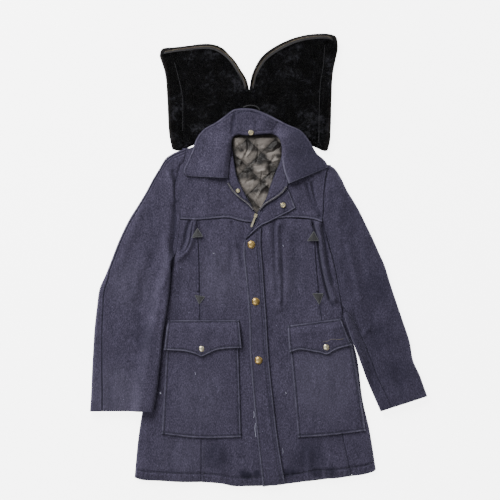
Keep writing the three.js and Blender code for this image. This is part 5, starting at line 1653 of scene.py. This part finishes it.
stitch = tooth_mesh("stitch", 2.6, 0.9, 0.6)
pieces_on_lines("casing_stitches", casing_lines(), stitch, STITCH_PITCH, casing_thread)
pieces_on_lines("topstitching", stitch_lines(), stitch, STITCH_PITCH, seam_thread)
bpy.data.objects.remove(stitch)
print("stitches made")

# %% [markdown]
# A dome snap is turned: one profile swept round an axis. The cap has a rolled rim and a low
# dome; the socket and the stud are rings with a hollow.

# %% Snaps
RIM_TARNISH = 0.6
# Amount of painted shade towards the lower right of each snap.
SIDE_SHADE = 0.28


def turned(name, profile, centre, base, material, node, sides=40):
    profile = np.array(profile, float)
    angle = np.linspace(0, 2 * math.pi, sides, endpoint=False)
    rings = np.stack([np.stack([r * np.cos(angle), r * np.sin(angle), np.full(sides, z)], 1)
                      for r, z in profile[1:-1]]).reshape(-1, 3)
    points = np.vstack([[0, 0, profile[0, 1]], rings, [0, 0, profile[-1, 1]]]) + [centre[0], centre[1], base]
    faces, last = [], len(points) - 1
    for i in range(sides):
        j = (i + 1) % sides
        faces.append((0, 1 + j, 1 + i))
        faces.append((last, last - sides + i, last - sides + j))
        for k in range(len(profile) - 3):
            a, b = 1 + k * sides, 1 + (k + 1) * sides
            faces.append((a + i, a + j, b + j, b + i))
    obj = make_mesh(name, points, faces, material, 35)
    reach = profile[:, 0].max()
    across, along = (points[:, 0] - centre[0]) / reach, (points[:, 1] - centre[1]) / reach
    # Tarnish in the rolled rim, and painted shade towards the lower right.
    dull = RIM_TARNISH * np.hypot(across, along) ** 4 + SIDE_SHADE * np.clip(across - along, 0, 2) ** 2
    obj.data.attributes.new("tarnish", "FLOAT", "POINT").data.foreach_set(
        "value", np.clip(dull, 0, 1).astype(np.float32))
    return ride(obj, [node])


def cap_profile(r, h):
    rim = [(0, 0), (r * 0.92, 0), (r * 0.99, 0.4), (r, 0.9), (r * 0.98, 1.4), (r * 0.92, 1.7),
           (r * 0.86, 1.5)]
    dome = [(r * 0.84 * math.cos(a), 1.5 + (h - 1.5) * math.sin(a)) for a in np.linspace(0.08, 1.45, 9)]
    return rim + dome + [(0, h)]


def ring_profile(r):
    return [(0, 0), (r * 0.94, 0), (r, 0.7), (r * 0.97, 1.6), (r * 0.85, 2.3), (r * 0.7, 2.35),
            (r * 0.6, 1.7), (r * 0.56, 0.9), (r * 0.36, 0.8), (r * 0.3, 1.5), (r * 0.15, 1.6), (0, 1.6)]


def build_snaps():
    for row, at in (("top", (-19, 41)), ("middle", (-8, -101)), ("low", (-1, -247))):
        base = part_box(f"snap_cap_{row}")[0][2] / MM
        turned(f"dome_{row}", cap_profile(9.75, 4.2), at, base, brass, f"snap_cap_{row}")
    for side, at in (("right", (-143, -218)), ("left", (167, -214))):
        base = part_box(f"snap_flap_{side}")[0][2] / MM
        turned(f"dome_flap_{side}", cap_profile(7.5, 3.6), at, base, worn_plate, f"snap_flap_{side}")
    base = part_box("snap_socket_lapel")[0][2] / MM
    turned("socket_lapel", ring_profile(7.0), (60, 139), base, pale_gold, "snap_socket_lapel")
    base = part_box("snap_stud_facing")[0][2] / MM
    turned("stud_facing", ring_profile(5.8), (-52.5, 175), base, worn_plate, "snap_stud_facing")
    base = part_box("snap_neck")[0][2] / MM
    turned("neck_snap", ring_profile(7.2), (-20, 319), base + 0.6, pale_gold, "snap_neck")


build_snaps()
print("snaps made")

# %% [markdown]
# An arrowhead tack is a triangle of satin stitches that stops a pocket end from tearing. Each
# thread is a short half-round cord, longer towards the base.

# %% Arrowhead tacks
TACKS = {
    "arrowhead_right_high": ((-153, 82), (-168, 58), (-140, 61)),
    "arrowhead_right_low": ((-149, -107), (-135, -89), (-160, -85)),
    "arrowhead_left_high": ((136, 74), (120, 50), (148, 51)),
    "arrowhead_left_low": ((150, -108), (160, -81), (133, -81)),
}
THREADS = 15


def thread_between(a, b, radius, height):
    along_it = np.linspace(0, 1, 7)[:, None]
    line = a + (b - a) * along_it
    direction = (b - a) / max(np.linalg.norm(b - a), 1e-6)
    side = np.array([-direction[1], direction[0]])
    rise = height + 0.9 * np.sin(math.pi * along_it[:, 0])
    points = []
    for p, z in zip(line, rise):
        for angle in np.linspace(0, 2 * math.pi, 6, endpoint=False):
            q = p + side * radius * math.cos(angle)
            points.append((q[0], q[1], z + radius * 0.8 * math.sin(angle)))
    faces = [(i * 6 + k, i * 6 + (k + 1) % 6, (i + 1) * 6 + (k + 1) % 6, (i + 1) * 6 + k)
             for i in range(6) for k in range(6)]
    faces += [tuple(range(5, -1, -1)), tuple(range(36, 42))]
    return points, faces


def tube(name, line, radius, material, sides=10):
    line = np.asarray(line, float)
    step = np.gradient(line, axis=0)
    step /= np.linalg.norm(step, axis=1)[:, None]
    side = np.cross(step, [0, 0, 1.0])
    side /= np.linalg.norm(side, axis=1)[:, None]
    up = np.cross(side, step)
    angles = np.linspace(0, 2 * math.pi, sides, endpoint=False)
    points = np.concatenate([p + radius * (np.cos(angles)[:, None] * s + np.sin(angles)[:, None] * u)
                             for p, s, u in zip(line, side, up)])
    faces = [(i * sides + k, i * sides + (k + 1) % sides, (i + 1) * sides + (k + 1) % sides,
              (i + 1) * sides + k)
             for i in range(len(line) - 1) for k in range(sides)]
    faces += [tuple(range(sides - 1, -1, -1)), tuple((len(line) - 1) * sides + k for k in range(sides))]
    return make_mesh(name, points, faces, material, 50)


def build_tacks():
    for name, corners in TACKS.items():
        tip, left, right = (np.array(c, float) for c in corners)
        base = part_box(name)[0][2] / MM
        points, faces = [], []
        for k in (np.arange(THREADS) + 0.5) / THREADS:
            a, b = tip + (left - tip) * k, tip + (right - tip) * k
            new, quads = thread_between(a, b, 0.95, base)
            first = len(points)
            points += new
            faces += [tuple(first + i for i in face) for face in quads]
        obj = make_mesh(name + "_stitches", points, faces, tack_thread, 60)
        ride(obj, [name])
        border = [np.append(c, base + 0.8) for c in (tip, left, right, tip)]
        share = np.linspace(0.02, 0.98, 9)[:, None]
        rim = np.concatenate([a + (b - a) * share for a, b in zip(border, border[1:])])
        ride(tube(name + "_outline", rim, 0.55, tack_outline, 6))


build_tacks()
print("tacks made")

# %% [markdown]
# The hanger loop is a braided cord that comes out behind the collar. A few pale fibres of lint
# lie on the dark wool, and the small hardware that the model already has gets its finish.

# %% Loop, lint and hardware
LOOP_RADIUS = 1.3
loop_line = curve_points([[-40, 382.7], [-28, 387], [-14, 387], [-4, 383], [1.5, 376.8]],
                         np.linspace(0, 1, 40))
loop_line = np.column_stack([loop_line, np.full(40, COLLAR_BACK_LOW + 1.4)])
loop = ride(tube("hanger_loop_cord", loop_line, LOOP_RADIUS, loop_cord), ["hanger_loop"])
# Route, thread and radius of each fibre.
LINT = [
    ([[-13, -374], [-12, -383], [-13, -391]], lint_thread, 0.55),
    ([[-9, -404], [-10, -418], [-8, -438]], lint_thread, 0.6),
    ([[-247, -327], [-245, -329], [-246, -331]], lint_thread, 1.3),
    ([[66, -326], [68, -329], [67, -331]], lint_thread, 0.55),
    ([[58, -466], [60, -474], [59, -480]], lint_thread, 0.35),
    ([[59, 40], [60, 38], [61, 36]], lint_thread, 0.5),
    ([[-159, -277], [-158, -280], [-159, -283]], lint_thread, 0.4),
    ([[-115, 20], [-113, 19], [-111, 20]], lint_thread, 0.5),
    ([[158, -201], [170, -199], [180, -194], [196, -195], [210, -193]], stray_thread, 0.35),
]


def surface_below(x, y):
    """Top of whatever cloth shows at a point: the placket, a pocket, a flap or the front itself."""
    level = front_height(x, y)
    placket = (x > np.interp(y, *np.array(PLACKET_RIGHT_EDGE)[:, ::-1].T)) & (
        x < np.interp(y, *np.array(PLACKET_LEFT_EDGE)[:, ::-1].T))
    level = np.where(placket, on_front(x, y) + PLACKET_WALL, level)
    on_flap = (x > 75) & (x < 221) & (y > -226) & (y < -160)
    on_pocket = ((x > 98) & (x < 236) | (x > -242) & (x < -50)) & (y > -430) & (y <= -226)
    level = np.where(on_pocket, on_front(x, y) + POCKET_WALL + 1.0, level)
    return np.where(on_flap, flap_low(x, y) + FLAP_WALL, level)


for number, (route, material, radius) in enumerate(LINT):
    path = curve_points(route, np.linspace(0, 1, 14))
    level = surface_below(path[:, 0], path[:, 1]) + 0.3
    ride(tube(f"lint_{number}", np.column_stack([path, level]), radius, material, 6))
for obj in bpy.data.objects:
    if obj.get("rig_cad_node") in ("zip_slider", "zip_pull") or obj.name in ("zip_slider", "zip_pull"):
        obj.data.materials[0] = pale_gold
print("pieces made:", len(made))

# %% [markdown]
# The flat cut of every piece of cloth, as it would be marked on the fabric, and what it lies
# on were noted in a table as each piece was made; here each cut is printed.

# %% Cloth cuts
for name, facts in sheets.items():
    print(name, "cut", round(facts["flat"][0], 3), "by", round(facts["flat"][1], 3), "m")

# %% [markdown]
# The floor glows white, so that the coat lies on white paper with hardly a shadow. Two soft
# lights and an even sky light the cloth; the key light comes from the upper left, low enough to
# draw the folds. The camera looks straight down from four metres and spans 1.25 m.

# %% Floor, lights and camera
PHOTO_CENTRE = (-22.5 * MM, 27.5 * MM)
PHOTO_WIDTH = 1250 * MM
CAMERA_HEIGHT = 4.0
FLOOR_GLOW = 5.0
SKY_STRENGTH = 0.4
KEY_POWER = 265
FILL_POWER = 30


def build_floor():
    mesh = bpy.data.meshes.new("floor")
    mesh.from_pydata([(-6, -6, 0), (6, -6, 0), (6, 6, 0), (-6, 6, 0)], [], [(0, 1, 2, 3)])
    floor = linked("floor", mesh)
    floor.location.z = -0.0005
    material, _, shader, _ = new_material("floor_white", 0.9)
    shader.inputs["Base Color"].default_value = linear("#fafafa")
    shader.inputs["Emission Color"].default_value = (1, 1, 1, 1)
    shader.inputs["Emission Strength"].default_value = FLOOR_GLOW
    mesh.materials.append(material)


def area_light(name, place, aim, size, power):
    light = bpy.data.lights.new(name, "AREA")
    light.energy, light.size = power, size
    obj = linked(name, light)
    obj.location = place
    dx, dy, dz = (aim[i] - place[i] for i in range(3))
    obj.rotation_euler = (math.atan2(math.hypot(dx, dy), -dz), 0, math.atan2(dy, dx) - math.pi / 2)


def build_view():
    camera = bpy.data.cameras.new("camera")
    camera.sensor_width = 36.0
    camera.lens = 36.0 * CAMERA_HEIGHT / PHOTO_WIDTH
    obj = linked("camera", camera)
    obj.location = (PHOTO_CENTRE[0] + ORIGIN_SHIFT[0] * MM, PHOTO_CENTRE[1] + ORIGIN_SHIFT[1] * MM,
                    CAMERA_HEIGHT)
    bpy.context.scene.camera = obj
    world = bpy.data.worlds.new("studio")
    bpy.context.scene.world = world
    world.use_nodes = True
    world.node_tree.nodes["Background"].inputs[0].default_value = (1, 1, 1, 1)
    world.node_tree.nodes["Background"].inputs[1].default_value = SKY_STRENGTH
    area_light("key", (-1.7, 2.6, 2.0), (0, 0, 0), 2.4, KEY_POWER)
    area_light("fill", (-1.2, -1.6, 2.4), (0, 0, 0), 1.6, FILL_POWER)


build_floor()
build_view()
print("camera at", CAMERA_HEIGHT, "m, image", PHOTO_WIDTH, "m wide")
